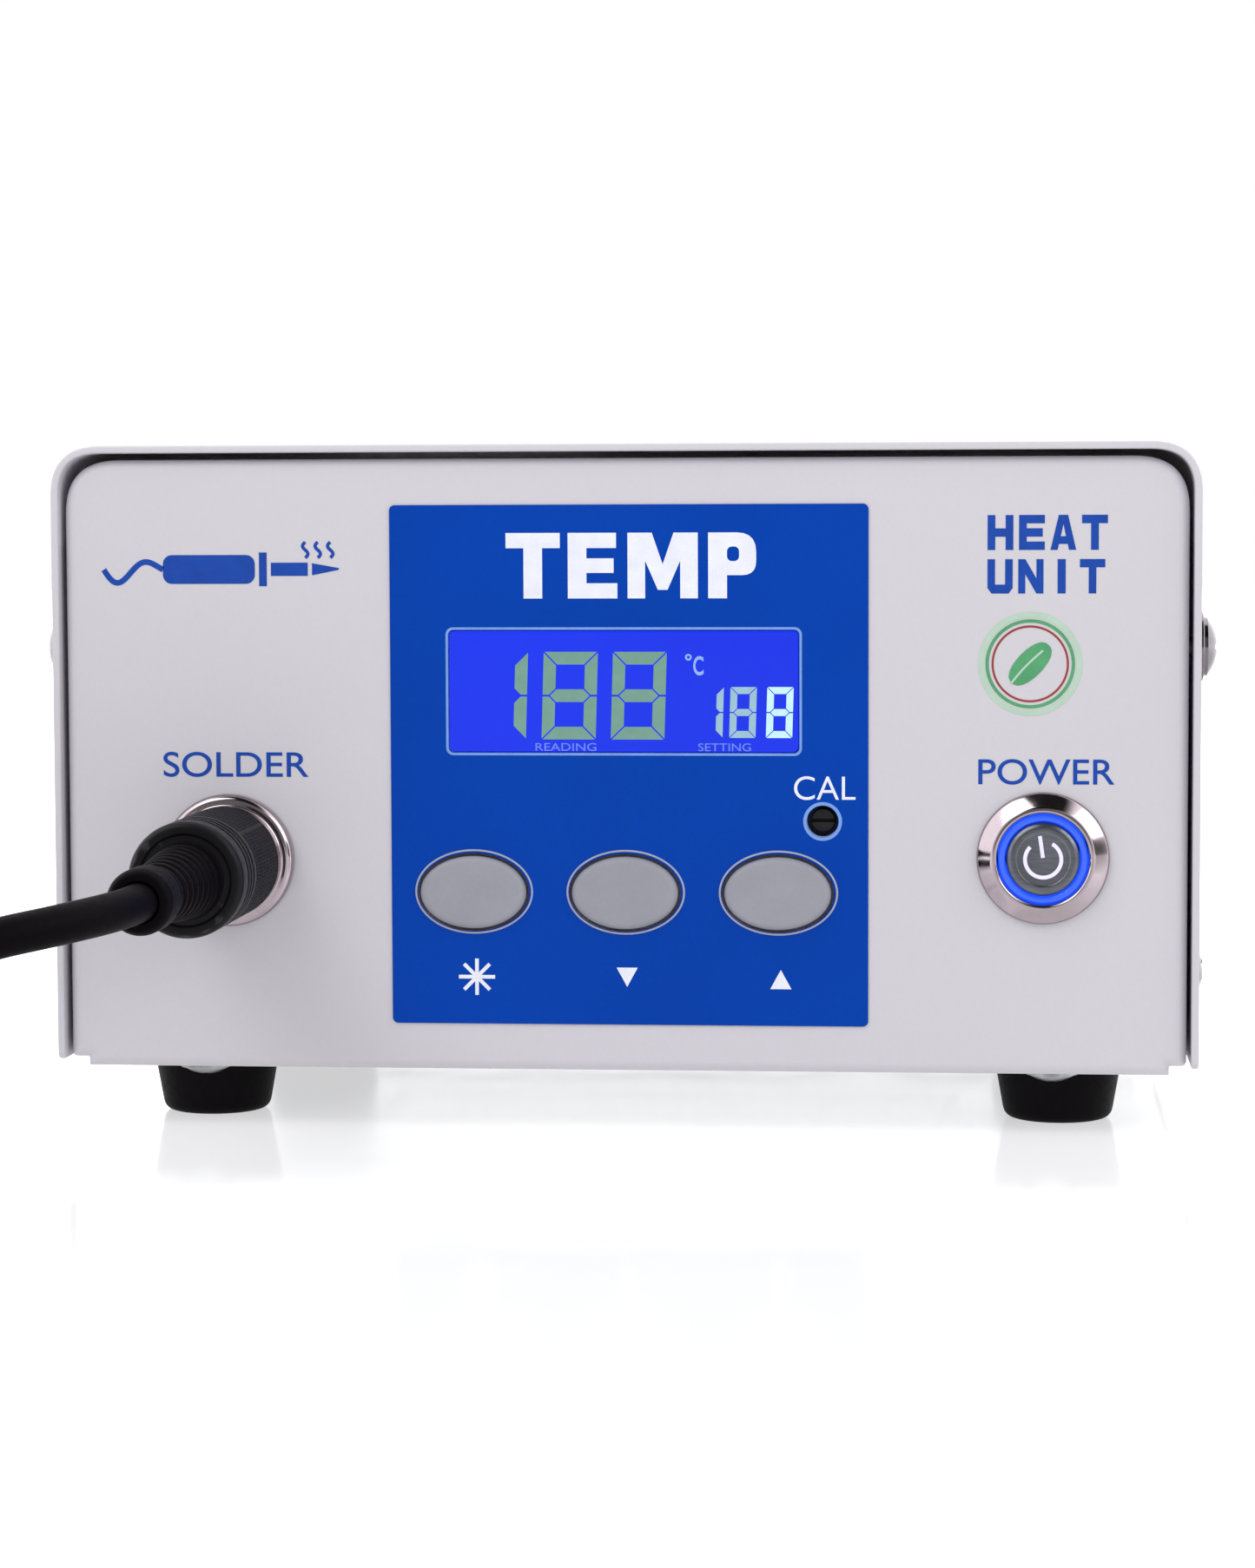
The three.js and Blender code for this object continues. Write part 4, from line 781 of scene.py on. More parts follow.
def label_holes():
    """The openings for the window, the trimmer and the keys, which the label shares with the panel."""
    keys = [oval(x, KEY_Z, 18.6, 13.0) for x in KEYS.values()]
    return [box_outline(*WINDOW_BOX, 1.0), oval(*TRIMMER, 5.2, 5.2, 40), *keys]


def make_panels():
    """The front and rear panels, with the openings that their parts need."""
    paint = paints()["painted_case"]
    front_holes = [*label_holes(), oval(*POWER, 19.2, 19.2), oval(*SOCKET, 15.8, 15.8)]
    put("Front_panel_bent", pressed_panel(front_holes), paint, stands_for=("front_panel",))
    vents = [box_outline(22, 68, z, z + 2.6, 1.25) for z in (58, 51, 44, 37, 30)]
    rear = pressed_panel([box_outline(-61.5, -34.5, 24.25, 55.75, 0.4), *vents])
    put("Rear_panel_bent", placed(rear, Matrix.Rotation(math.pi, 4, "Z")), paint,
        stands_for=("rear_panel",))


def make_cover():
    """The cover: a sheet's section carried over the top through two bends, with a plain side below each bend
    that holds the vents."""
    half, deep, top, seam, sheet, edge = 95.0, 78.0, 102.5, 86.0, 1.2, 0.3
    middle = half - sheet / 2
    arch = rounded([(-middle, seam), (-middle, top - sheet / 2, 10.4), (middle, top - sheet / 2, 10.4),
                    (middle, seam)], steps=16)
    section = box_outline(-sheet / 2, sheet / 2, -deep, deep, edge, steps=3)(0)
    over = carried(np.insert(arch, 1, 0, axis=1), section, up=(0, 1, 0))

    def side_outline(grow):
        reach, foot = deep + grow, -0.2 - grow
        return rounded([(-reach, seam), (-reach, foot, 1.6), (reach, foot, 1.6), (reach, seam)], steps=5)

    slots = [box_outline(y, y + 2.6, 43, 73, 0.5) for y in 76.5 - 18 - 2.6 - 8 * np.arange(7)]
    side = plate(side_outline, slots, -half, sheet - half, edge=edge, hole_edge=0.2)
    left = placed((side[0] * (-1, 1, 1), side[1], side[2]), Matrix.Rotation(-math.pi / 2, 4, "Z"))
    right = placed(side, Matrix.Rotation(math.pi / 2, 4, "Z"))
    put("Cover_bent", merged(over, left, right), paints()["painted_case"],
        stands_for=("top_cover",))


def make_inlet():
    """The mains inlet at the back: its flanged body, three blades and the fuse drawer with a pull lip. It is
    made facing the front and then turned."""
    paint = paints()
    turn = Matrix.Rotation(math.pi, 4, "Z")
    x, z = -48.0, 40.0
    mouth = cornered(
        (x - 12, z - 2.2, 1.2), (x + 12, z - 2.2, 1.2), (x + 12, z + 9.2, 0.8), (x + 7, z + 14.2, 0.8),
        (x - 7, z + 14.2, 0.8), (x - 12, z + 9.2, 0.8),
    )
    slot = box_outline(x - 10.8, x + 10.8, z - 13.4, z - 5.8, 0.3)
    outer = box_outline(x - 15.5, x + 15.5, z - 17.75, z + 17.75, 2.2)
    inner = box_outline(x - 13.3, x + 13.3, z - 15.55, z + 15.55, 0.6)
    face = FRONT - 2
    pins = [(x + 7, z + 4), (x - 7, z + 4), (x, z + 8)]
    blades = [box_outline(px - 1.05, px + 1.05, pz - 2.05, pz + 2.05, 0.1) for px, pz in pins]
    body = merged(
        plate(outer, [mouth, slot], face, FRONT, edge=0.5, hole_edge=0.3),
        plate(inner, [mouth, slot], FRONT, face + 17), plate(inner, [slot, *blades], face + 17, face + 20),
        plate(inner, blades, face + 20.9, FRONT + 24),
    )
    black = paint["black_plastic"]
    put("Inlet_body", placed(body, turn), black, stands_for=("mains_inlet",))
    for name, (px, pz) in zip(("neutral", "line", "earth"), pins):
        blade = plate(box_outline(px - 1, px + 1, pz - 2, pz + 2, 0.35), [], face + 6, FRONT + 31, edge=0.45)
        put(f"Inlet_blade_{name}", placed(blade, turn), paint["brass_pin"],
            stands_for=(f"inlet_{name}_pin",))
    low, floor, high = z - 13.1, z - 12.1, z - 6.1

    def block(z0, z1, y0, y1, radius=0.2, edge=0.0):
        return plate(box_outline(x - 10.5, x + 10.5, z0, z1, radius), [], face + y0, face + y1, edge=edge)

    lip = plate(box_outline(x - 4.5, x + 4.5, z - 12.6, z - 11.2, 0.5), [], face - 2.3, face - 1.4, edge=0.3)
    drawer = merged(
        block(low, high, -1.6, 0.4, 0.5, 0.35), lip, block(low, floor, 0.4, 21),
        block(floor, high, 0.4, 12.2), block(floor, high, 19.5, 21),
    )
    put("Fuse_drawer_lipped", placed(drawer, turn), black, "fuse_drawer", ("fuse_drawer",))


# ---------------------------------------------------------------- iron


IRON = (-202.2, -86.0, -0.7)


def make_iron():
    """The iron beside the coil, turned about one axis: the cord's boot, the handle, the grip with its rings
    and flutes, and the slotted collar nut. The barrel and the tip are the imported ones. The grip's radius
    falls by the larger of two powers of (1 - cos) / 2, one of the distance along it and one of ten times
    the angle."""
    paint = paints()
    ribs = [row for y in np.arange(3, 19, 2.6) for row in
            ((4.5 + 0.075 * y, y, 0.3), (4.5 + 0.075 * y, y + 1.5, 0.3), (3.9 + 0.075 * y, y + 1.8, 0.2),
             (3.9 + 0.075 * y, y + 2.3, 0.2))]
    boot = turned([
        (0, 8), (3.3, 8), (3.3, 0, 0.1), (4.2, 0, 0.4), (4.6, 1, 0.3), *ribs, (5.9, 20.5, 0.3),
        (6.4, 24.7, 0.3), (4.6, 24.7), (4.6, 31), (0, 31),
    ], IRON)
    put("Iron_boot_ribbed", boot, paint["cord_rubber"], stands_for=("iron_cord_boot",))
    handle = turned([
        (0, 31.3), (4.9, 31.3), (4.9, 25), (6.8, 25, 0.3), (7.6, 26.2, 0.6), (8.1, 36, 3), (8.4, 47, 3),
        (8.4, 82, 0.3), (8.15, 82.4, 0.1), (8.15, 83.4, 0.1), (8.4, 83.8, 0.3), (8.4, 86, 0.2), (7, 86),
        (7, 130), (0, 130),
    ], IRON, sides=96)
    put("Iron_handle_turned", handle, paint["black_plastic"], stands_for=("iron_handle",))

    def flutes(a, t, r):
        share = np.clip((t - 91) / 2, 0, 1) * np.clip((120 - t) / 2, 0, 1) * (r > 8.2)
        rings = 0.5 - 0.5 * np.cos(2 * np.pi * (t - 91) / 3.2)
        return -0.42 * share * np.maximum(rings**4, (0.5 - 0.5 * np.cos(10 * a)) ** 6)

    sleeve = [(8.9 - 0.35 * math.sin(math.pi * (t - 88) / 34), t) for t in np.linspace(88.6, 121.5, 96)]
    grip = turned([
        (7.2, 86.3), (9.0, 86.3, 0.3), (9.1, 88, 0.4), *sleeve, (9.2, 122, 1), (11, 127, 0.8),
        (11, 128.8, 0.5), (9.6, 130, 0.5), (7.2, 130),
    ], IRON, sides=160, ripple=flutes)
    put("Iron_grip_fluted", grip, paint["grip_rubber"], stands_for=("iron_grip",), sharp=50)

    def teeth(a, t, r):
        share = np.clip((t - 131.2) / 0.4, 0, 1) * np.clip((137.4 - t) / 0.4, 0, 1) * (r > 6.5)
        return -0.22 * share * (0.5 - 0.5 * np.cos(40 * a))

    rows = [(7.0, t) for t in np.linspace(131, 137.8, 24)]
    nut = turned([
        (4.3, 130.3), (6.7, 130.3, 0.2), (7, 130.7, 0.2), *rows, (7, 138.4, 0.2), (5.7, 141.1, 0.3),
        (4.3, 141.3),
    ], IRON, sides=240, ripple=teeth)
    put("Iron_collar_toothed", nut, paint["chrome"], stands_for=("iron_collar_nut",), sharp=50)


# ---------------------------------------------------------------- control panel


LABEL_BOX = (-38.3, 40.9, 6.35, 92.55)
WINDOW_BOX = (-28.5, 29.5, 51.65, 71.85)
KEYS = {"set": -24.6, "down": 0.7, "up": 26.0}
KEY_Z = 28.35
TRIMMER = (33.4, 40.35)
POWER = (69.5, 34.4)
SOCKET = (-65.6, 33.6)


def title(front, back):
    """The word TEMP in heavy capitals, each letter made of overlapping bars."""
    z0, z1, bar = 77.1, 87.9, 3.1
    mid = (z0 + z1) / 2

    def box(x0, x1, low, high):
        return plate(polygon((x0, low), (x1, low), (x1, high), (x0, high)), [], front, back)

    t, e, m, p = -18.9, -8.6, 1.3, 14.6
    bowl = plate(
        cornered((p, z0, 0.02), (p + bar, z0, 0.02), (p + bar, mid - 1.6, 0.02), (p + 7.9, mid - 1.6, 3.2),
                 (p + 7.9, z1, 3.2), (p, z1, 0.02)),
        [box_outline(p + bar, p + 5.1, mid + 0.7, z1 - 2.3, 0.8)], front, back,
    )
    return merged(
        box(t, t + 9.0, z1 - 2.5, z1), box(t + 2.95, t + 6.05, z0, z1 - 2.5),
        box(e, e + bar, z0, z1), box(e + bar, e + 8.0, z1 - 2.5, z1),
        box(e + bar, e + 7.6, mid - 1.2, mid + 1.2), box(e + bar, e + 8.2, z0, z0 + 2.5),
        plate(polygon((m, z0), (m + 2.9, z0), (m + 2.9, z1 - 4.6), (m + 5.0, z0 + 1.4), (m + 6.6, z0 + 1.4),
                      (m + 8.7, z1 - 4.6), (m + 8.7, z0), (m + 11.6, z0), (m + 11.6, z1), (m + 7.6, z1),
                      (m + 5.8, z0 + 5.6), (m + 4.0, z1), (m, z1)), [], front, back),
        bowl,
    )


def make_label():
    """The printed film with its openings: a thin plate with rounded edges, the marks printed on it, and
    grey rims round the keys, partly the panel's light metal edge and partly a painted edge highlight.
    """
    film, marks = paints()["label_film"], mark_paints()
    height = bpy.context.scene.station_sizes.print_height / MM
    front = LABEL_FRONT - height
    sheet = plate(box_outline(*LABEL_BOX, 0.9), label_holes(), LABEL_FRONT, FRONT, edge=0.1)
    put("Label_film", sheet, film, stands_for=("control_label",))

    put("Title_print", title(front, LABEL_FRONT), marks["white"])
    put("Trimmer_word", lettering("CAL", (28.7, 38.8, 43.9, 47.8), front, LABEL_FRONT, bold=-0.004),
        marks["white"])
    # Grey rims round the keys' openings: partly the panel's light metal edge, partly a painted edge
    # highlight, set 0.1 mm up and to the right where it shows.
    aside = 0.1
    rims = [
        plate(oval(x + aside, KEY_Z + aside, 19.7, 14.1), [oval(x + aside, KEY_Z + aside, 19.1, 13.5)],
              front, LABEL_FRONT)
        for x in KEYS.values()
    ]
    put("Key_rims_edge_and_highlight", merged(*rims), marks["grey"])
    ring = plate(oval(*TRIMMER, 6.4, 6.4), [oval(*TRIMMER, 5.3, 5.3)], front, LABEL_FRONT)
    line_inside = box_outline(-28.6, 29.6, 51.55, 71.95, 0.9)
    frame_line = plate(box_outline(-29.0, 30.0, 51.15, 72.35, 1.2), [line_inside], front, LABEL_FRONT)
    put("Outline_print", merged(ring, frame_line), marks["pale"])

    angle = np.radians(np.arange(0, 360, 45))[:, None]
    radii, spread = np.array([[3.05, 3.05, 0.8]]), np.array([[-0.1, 0.1, math.pi / 8]])
    rays = np.stack([-24.1 + radii * np.cos(angle + spread), 14.2 + radii * np.sin(angle + spread)], axis=-1)
    star = plate(polygon(*rays.reshape(-1, 2)), [], front, LABEL_FRONT)
    down = plate(polygon((-0.75, 15.9), (2.75, 15.9), (1.0, 12.7)), [], front, LABEL_FRONT)
    up = plate(polygon((24.75, 12.5), (28.25, 12.5), (26.5, 15.7)), [], front, LABEL_FRONT)
    put("Key_signs_print", merged(star, down, up), marks["white"])


def digit(box, thick, gap, slant, lit="abcdefg"):
    """The bars of one seven-bar digit: each bar is a strip whose ends are cut at 45 degrees, and every point
    leans right by slant times its height."""
    x0, x1, z0, z1 = box
    zm, t, g, h = (z0 + z1) / 2, thick, gap, thick / 2
    bars = {
        "a": [(x0 + g, z1), (x1 - g, z1), (x1 - t - g, z1 - t), (x0 + t + g, z1 - t)],
        "b": [(x1, z1 - g), (x1, zm + g), (x1 - h, zm + g), (x1 - t, zm + h + g), (x1 - t, z1 - t - g)],
        "c": [(x1, zm - g), (x1, z0 + g), (x1 - t, z0 + t + g), (x1 - t, zm - h - g), (x1 - h, zm - g)],
        "d": [(x0 + g, z0), (x0 + t + g, z0 + t), (x1 - t - g, z0 + t), (x1 - g, z0)],
        "e": [(x0, zm - g), (x0 + h, zm - g), (x0 + t, zm - h - g), (x0 + t, z0 + t + g), (x0, z0 + g)],
        "f": [(x0, z1 - g), (x0 + t, z1 - t - g), (x0 + t, zm + h + g), (x0 + h, zm + g), (x0, zm + g)],
        "g": [(x0 + h + g, zm), (x0 + t + g, zm + h), (x1 - t - g, zm + h), (x1 - h - g, zm),
              (x1 - t - g, zm - h), (x0 + t + g, zm - h)],
    }
    return [[(x + slant * (z - z0), z) for x, z in bars[bar]] for bar in lit]


def make_display():
    """The display: its pane, the bars of its digits and its small signs."""
    paint, marks = paints(), mark_paints()
    x0, x1, z0, z1 = WINDOW_BOX
    face = -76.72
    pane = plate(box_outline(x0 + 0.12, x1 - 0.12, z0 + 0.12, z1 - 0.12, 0.9), [], face, face + 1.5, edge=0.2)
    put("Display_pane", pane, paint["display_glass"], stands_for=("display_window",))
    front = face - 0.04

    def bars(name, key, *digits):
        shapes = [plate(polygon(*bar), [], front, face) for bars_of in digits for bar in bars_of]
        put(name, merged(*shapes), marks[key])

    lean = 0.03
    bars("Big_digits", "digit", digit((-19.0, -15.7, 53.8, 68.3), 2.1, 0.16, lean, "bc"),
         digit((-13.1, -4.1, 53.8, 68.3), 2.1, 0.16, lean), digit((-1.6, 7.3, 53.8, 68.3), 2.1, 0.16, lean))
    bars("Small_digits", "small", digit((14.4, 16.9, 54.1, 62.5), 1.15, 0.1, lean, "bc"),
         digit((18.0, 22.35, 54.1, 62.5), 1.15, 0.1, lean))
    bars("Last_digit", "bright", digit((24.05, 28.4, 54.1, 62.5), 1.15, 0.1, lean))
    degree = plate(oval(11.3, 67.4, 1.1, 1.1, 24), [oval(11.3, 67.4, 0.5, 0.5, 24)], front, face)
    put("Degree_sign", merged(degree, lettering("C", (12.1, 13.8, 64.4, 67.6), front, face, bold=0.02)),
        marks["degree"])
    captions = merged(
        lettering("READING", (-14.1, -4.0, 51.9, 53.2), front, face),
        lettering("SETTING", (12.9, 21.6, 51.9, 53.2), front, face),
    )
    put("Display_signs", captions, marks["caption"])


def make_keys():
    """Oval keys with a rounded front edge, each with the flange and stem behind the panel."""
    paint, turn = paints()["key_plastic"], bpy.context.scene.station_sizes.key_round / MM
    for name, x in KEYS.items():
        cap = plate(oval(x, KEY_Z, 17.6, 12.0, 96), [], -78.1, -74.5, edge=turn, steps=7)
        flange = plate(oval(x, KEY_Z, 21.4, 15.8), [], -74.7, -73.7, edge=0.15)
        stem = turned([(0, -74.0), (2, -74.0), (2, -71.05, 0.3), (0, -71.05)], (x, 0, KEY_Z), sides=32)
        node = f"{name}_key"
        put(f"Oval_key_{name}", merged(cap, flange, stem), paint, node, (node,))


def make_trimmer():
    """The trimmer's rotor: a disc with two half rounds on it that leave the slot between them."""
    x, z = TRIMMER
    base = turned([(0, -73.6), (1.9, -73.6, 0.1), (1.9, -70.7), (0, -70.7)], (x, 0, z), sides=40)
    half_turn = np.linspace(math.asin(0.3 / 1.85), math.pi - math.asin(0.3 / 1.85), 20)
    arc = np.stack([1.85 * np.cos(half_turn), 1.85 * np.sin(half_turn)], axis=-1)
    halves = [plate(polygon(*(arc * sign + (x, z))), [], -74.4, -73.55) for sign in (1, -1)]
    put("Trimmer_rotor", merged(base, *halves), paints()["black_plastic"], "cal_trimmer",
        ("cal_trimmer_rotor",))


def make_power_switch():
    """The lit switch: a sloping chrome bezel, a blue ring and a brushed cap with its sign."""
    paint, marks = paints(), mark_paints()
    x, z = POWER
    centre = (x, FRONT, z)
    bezel = turned([
        (7.55, -2.25, 0.15), (7.9, -2.6, 0.3), (8.5, -2.45, 0.4), (10.75, -0.85, 0.5), (10.9, -0.3, 0.3),
        (10.9, 0), (9.3, 0), (9.3, 18), (7.55, 18),
    ], centre, sides=128, steps=5)
    put("Switch_bezel", bezel, paint["chrome"], stands_for=("power_switch_bezel",))
    ring = turned([
        (6.2, -1.75, 0.2), (6.4, -2.1, 0.2), (7.1, -2.1, 0.3), (7.35, -1.7, 0.3), (7.35, 9), (6.2, 9),
    ], centre, sides=96)
    put("Switch_light", ring, paint["light_ring"], stands_for=("power_light_ring",))
    cap = turned([
        (0, -2.38), (4.3, -2.38, 0.2), (4.5, -2.5, 0.15), (5.3, -2.5, 0.3), (6.0, -2.05, 0.3), (6.0, 8),
        (3, 8), (3, 9.4), (0, 9.4),
    ], centre, sides=96)
    put("Switch_cap", cap, paint["button_steel"], "power_button", ("power_button",))
    lean = math.radians(8)
    a = np.radians(np.linspace(128, 412, 48)) + lean
    arc = np.stack([x + 2.95 * np.cos(a), z + 2.95 * np.sin(a)], axis=-1)
    bar = [(x - r * math.sin(lean), z + r * math.cos(lean)) for r in (0.3, 2.0, 3.9)]
    front, back = FRONT - 2.44, FRONT - 2.38
    sign = merged(ribbon(arc, 0.62, front, back), ribbon(bar, 0.62, front, back))
    put("Switch_sign", sign, marks["symbol"], "power_button")


# ---------------------------------------------------------------- print on the case


def make_front_print():
    """Words and signs printed in blue on the case, and a round badge with a leaf."""
    marks = mark_paints()
    height = bpy.context.scene.station_sizes.print_height / MM
    front = FRONT - height
    words = merged(
        lettering("SOLDER", (-76.7, -52.2, 47.4, 51.6), front, FRONT, bold=0.004),
        lettering("POWER", (58.9, 81.1, 46.5, 50.7), front, FRONT, bold=0.004),
        block_word("HEAT", (60.3, 79.8, 84.9, 90.6), front, FRONT),
        block_word("UNIT", (60.3, 79.4, 77.8, 83.4), front, FRONT),
    )
    put("Front_words_print", words, marks["blue"])
    t = np.linspace(0, 1, 28)
    cable = np.stack([-76.4 - 10.0 * t, 82.0 + 1.9 * np.sin(2 * np.pi * t) * (0.4 + t)], axis=-1)
    waves = [
        ribbon(np.stack([x + 0.45 * np.sin(2 * np.pi * t), 83.9 + 2.6 * t], axis=-1), 0.55, front, FRONT)
        for x in (-52.4, -50.3, -48.2)
    ]
    iron = merged(
        plate(box_outline(-76.4, -60.9, 79.6, 84.4, 1.5), [], front, FRONT),
        plate(polygon((-60.2, 79.2), (-58.9, 79.2), (-58.9, 84.8), (-60.2, 84.8)), [], front, FRONT),
        plate(polygon((-58.2, 80.9), (-52.0, 80.9), (-52.0, 83.1), (-58.2, 83.1)), [], front, FRONT),
        plate(polygon((-51.3, 81.0), (-46.8, 81.9), (-46.8, 82.2), (-51.3, 83.0)), [], front, FRONT),
        ribbon(cable, 0.95, front, FRONT), *waves,
    )
    put("Iron_sign_print", iron, marks["blue"])

    x, z = 67.3, 66.3

    def ring(outer, inner):
        return plate(oval(x, z, 2 * outer, 2 * outer), [oval(x, z, 2 * inner, 2 * inner)], front, FRONT)

    put("Badge_halo", ring(8.5, 7.55), marks["halo"])
    put("Badge_red_ring", ring(6.3, 5.95), marks["red"])
    s = np.linspace(0, np.pi, 22)
    u = 4.3 * np.cos(s)
    bulge = 2.15 * np.sin(s) ** 0.8
    rim = np.concatenate([np.stack([u, bulge], axis=-1), np.stack([u, -bulge], axis=-1)[::-1][1:-1]])
    lean = np.array([[math.cos(0.8), -math.sin(0.8)], [math.sin(0.8), math.cos(0.8)]])
    leaf = plate(polygon(*(rim @ lean.T + (x, z))), [], front, FRONT)
    put("Badge_leaf", merged(ring(7.3, 6.75), leaf), marks["green"])
    vein = np.stack([np.linspace(-4.6, 3.0, 12), 0.25 * np.sin(np.linspace(0, 3, 12))], axis=-1)
    vein = vein @ lean.T + (x, z)
    put("Badge_vein", ribbon(vein, 0.34, front - 0.02, front), marks["halo"])


# ---------------------------------------------------------------- socket and plug


def make_socket_and_plug():
    """The iron's socket and the plug in it, all turned about one axis. The coupling nut's radius falls by
    depth (1 - |sin(n a / 2 + k t)| |sin(n a / 2 - k t)|), which leaves a diamond knurl."""
    paint, sizes = paints(), bpy.context.scene.station_sizes
    centre = (SOCKET[0], FRONT, SOCKET[1])
    shell = turned([
        (6.4, -9, 0.2), (7.6, -9, 0.2), (7.6, -4.9), (8.9, -4.9, 0.5), (9.0, -3.4, 0.2), (9.3, -3.0, 0.2),
        (10.3, -3.0, 0.4), (11.05, -2.3, 0.5), (11.05, -0.35, 0.25), (10.8, 0), (7.6, 0), (7.6, 12),
        (6.4, 12),
    ], centre, sides=128)
    put("Socket_shell", shell, paint["chrome"], stands_for=("iron_socket_shell",))

    teeth, depth = sizes.knurl_teeth, sizes.knurl_depth / MM
    pitch = math.pi * teeth / (2 * math.pi * 9.3)

    def knurl(a, t, r):
        share = np.clip((-6.2 - t) / 0.5, 0, 1) * np.clip((t + 24.4) / 0.5, 0, 1) * (r > 9.25)
        diamonds = np.sin(teeth * a / 2 + pitch * t) * np.sin(teeth * a / 2 - pitch * t)
        return -depth * share * (1 - np.abs(diamonds))

    rows = [(9.3, t) for t in np.linspace(-6.2, -24.4, 92)]
    nut = turned([
        (7.9, -5.5), (8.95, -5.5, 0.15), (9.3, -5.9, 0.2), *rows, (9.3, -24.6, 0.1), (9.0, -25, 0.1),
        (6.9, -25), (6.9, -23.2), (7.9, -23.2),
    ], centre, sides=teeth * 7, ripple=knurl)
    put("Coupling_nut", nut, paint["black_plastic"], "coupling_nut",
        ("plug_coupling_nut",), sharp=50)

    grooves = [row for y in (-27.3, -29.5, -31.7) for row in
               ((9.3, y, 0.1), (8.65, y - 0.25, 0.1), (8.65, y - 0.95, 0.1), (9.3, y - 1.2, 0.1))]
    body = turned([
        (0, -3.3), (6.1, -3.3), (6.1, -9.3), (7.6, -9.3), (7.6, -22.9), (6.6, -22.9), (6.6, -25.3),
        (9.0, -25.3, 0.1), (9.3, -25.6, 0.1), *grooves, (9.3, -36.6, 0.5), (8.6, -37.3, 0.3),
        (7.4, -37.3, 0.2), (7.2, -37.0, 0.2), (5, -37.3), (5, -29.3), (0, -29.3),
    ], centre, sides=96)
    put("Plug_body", body, paint["black_plastic"], stands_for=("plug_shell",))

    ribs = []
    for i in range(8):
        r, y = 6 - 1.5 * i / 7, -39.1 - 2.94 * i
        ribs += [(r, y, 0.5), (r, y - 1.6, 0.5), (r - 0.95, y - 2.1, 0.25), (r - 0.95, y - 2.75, 0.25)]
    boot = turned([
        (0, -29.6), (4.7, -29.6), (4.7, -37.6), (6.3, -37.6, 0.2), (6.3, -38.2, 0.2), (5.1, -38.5, 0.2),
        *ribs, (3.9, -62.6, 0.3), (4.9, -63.3, 0.4), (5.1, -64.5, 0.4), (5.1, -70.6, 0.7),
        (4.4, -71.6, 0.4), (3.3, -71.6), (3.3, -63.6), (0, -63.6),
    ], centre, sides=72)
    put("Plug_boot_ribbed", boot, paint["cord_rubber"], stands_for=("plug_boot",))


# ---------------------------------------------------------------- feet and screws


def make_feet():
    """Four rubber feet: a cone with a rounded lower edge and a deep bore for its screw."""
    paint, turn = paints(), bpy.context.scene.station_sizes.foot_round / MM
    for row, y in (("front", -54.5), ("rear", 54.5)):
        for side, x in (("left", -72.5), ("right", 72.5)):
            foot = turned([
                (0, -6.7), (4, -6.7), (4, FLOOR, 0.5), (9.0, FLOOR, turn), (11.0, -0.4, 0.2), (11.1, 0),
                (0, 0),
            ], (x, y, 0), axis="z", sides=96, steps=6)
            put(f"Rubber_foot_{row}_{side}", foot, paint["foot_rubber"],
                stands_for=(f"foot_{row}_{side}",))
            head = screw_shape(3.4, 2.2, 3.7, 0.3, 0.6, 2.0)
            place = Matrix.Translation((x, y, -6.7)) @ Matrix.Rotation(math.pi, 4, "X")
            put(f"Foot_screw_{row}_{side}", placed(head, place), paint["zinc_steel"])


def screw_shape(radius, height, washer, thick, recess, shank):
    """A domed screw with a washer, standing on z = 0 with its head up. The head's height at radius r is
    height - 0.55 height (r / R)^2.2, less the cross: recess times two smooth bars at right angles."""
    a = np.linspace(0, 2 * np.pi, 96, endpoint=False)[None]
    r = np.linspace(0.1, radius, 30)[:, None]
    x, y = r * np.cos(a), r * np.sin(a)
    length, width, soft = 0.5 * radius, 0.12 * radius, 0.06 * radius

    def bar(p, q):
        along = np.clip((length - np.abs(p)) / soft, 0, 1)
        across = np.clip((width - np.abs(q)) / soft + 0.5, 0, 1)
        return along * across

    z = height - 0.55 * height * (r / radius) ** 2.2 - recess * np.maximum(bar(x, y), bar(y, x))
    below = [
        (radius, thick), (washer - 0.15, thick), (washer, thick - 0.15), (washer, 0.05), (washer - 0.05, 0.0),
        (shank, 0.0), (shank, -4.5),
    ]
    lower = np.array(below)
    rings = np.concatenate([
        np.stack([x, y, z], axis=-1),
        np.stack([lower[:, :1] * np.cos(a), lower[:, :1] * np.sin(a), lower[:, 1:] + 0 * a], axis=-1),
    ])
    return lofted(rings, ends=[(0, 0, height - recess), (0, 0, -4.5)])


def make_screws():
    """Chromed cover screws on the case's sides and plated base screws under the front panel's edge."""
    paint, sizes = paints(), bpy.context.scene.station_sizes
    chrome = finish("Screw chrome", (122, 117, 121), 0.12, 1.0, shade=0.12, cloud=90, grain=600, bump=0.08)
    washer, recess = sizes.washer_radius / MM, sizes.recess_depth / MM
    places = {"upper_front": (-66.5, 68.8), "lower": (-30.5, 10.8), "upper_rear": (66.5, 68.8)}
    for place, (y, z) in places.items():
        for side, sign in (("left", -1), ("right", 1)):
            head = screw_shape(4.9, 3.2, washer, 0.8, recess, 1.7)
            turn = Matrix.Translation((sign * 95, y, z)) @ Matrix.Rotation(sign * math.pi / 2, 4, "Y")
            spin = Matrix.Rotation(0.4 + 0.5 * y, 4, "Z")
            put(f"Cover_screw_{place}_{side}", placed(head, turn @ spin), chrome,
                stands_for=(f"cover_screw_{place}_{side}",))
    for side, sign in (("left", -1), ("right", 1)):
        head = screw_shape(3.6, 1.9, 4.5, 0.6, 0.8, 1.7)
        turn = Matrix.Translation((sign * 71.2, -70, -1.5)) @ Matrix.Rotation(math.pi, 4, "X")
        put(f"Base_screw_{side}", placed(head, turn), paint["zinc_steel"],
            stands_for=(f"base_screw_{side}",))


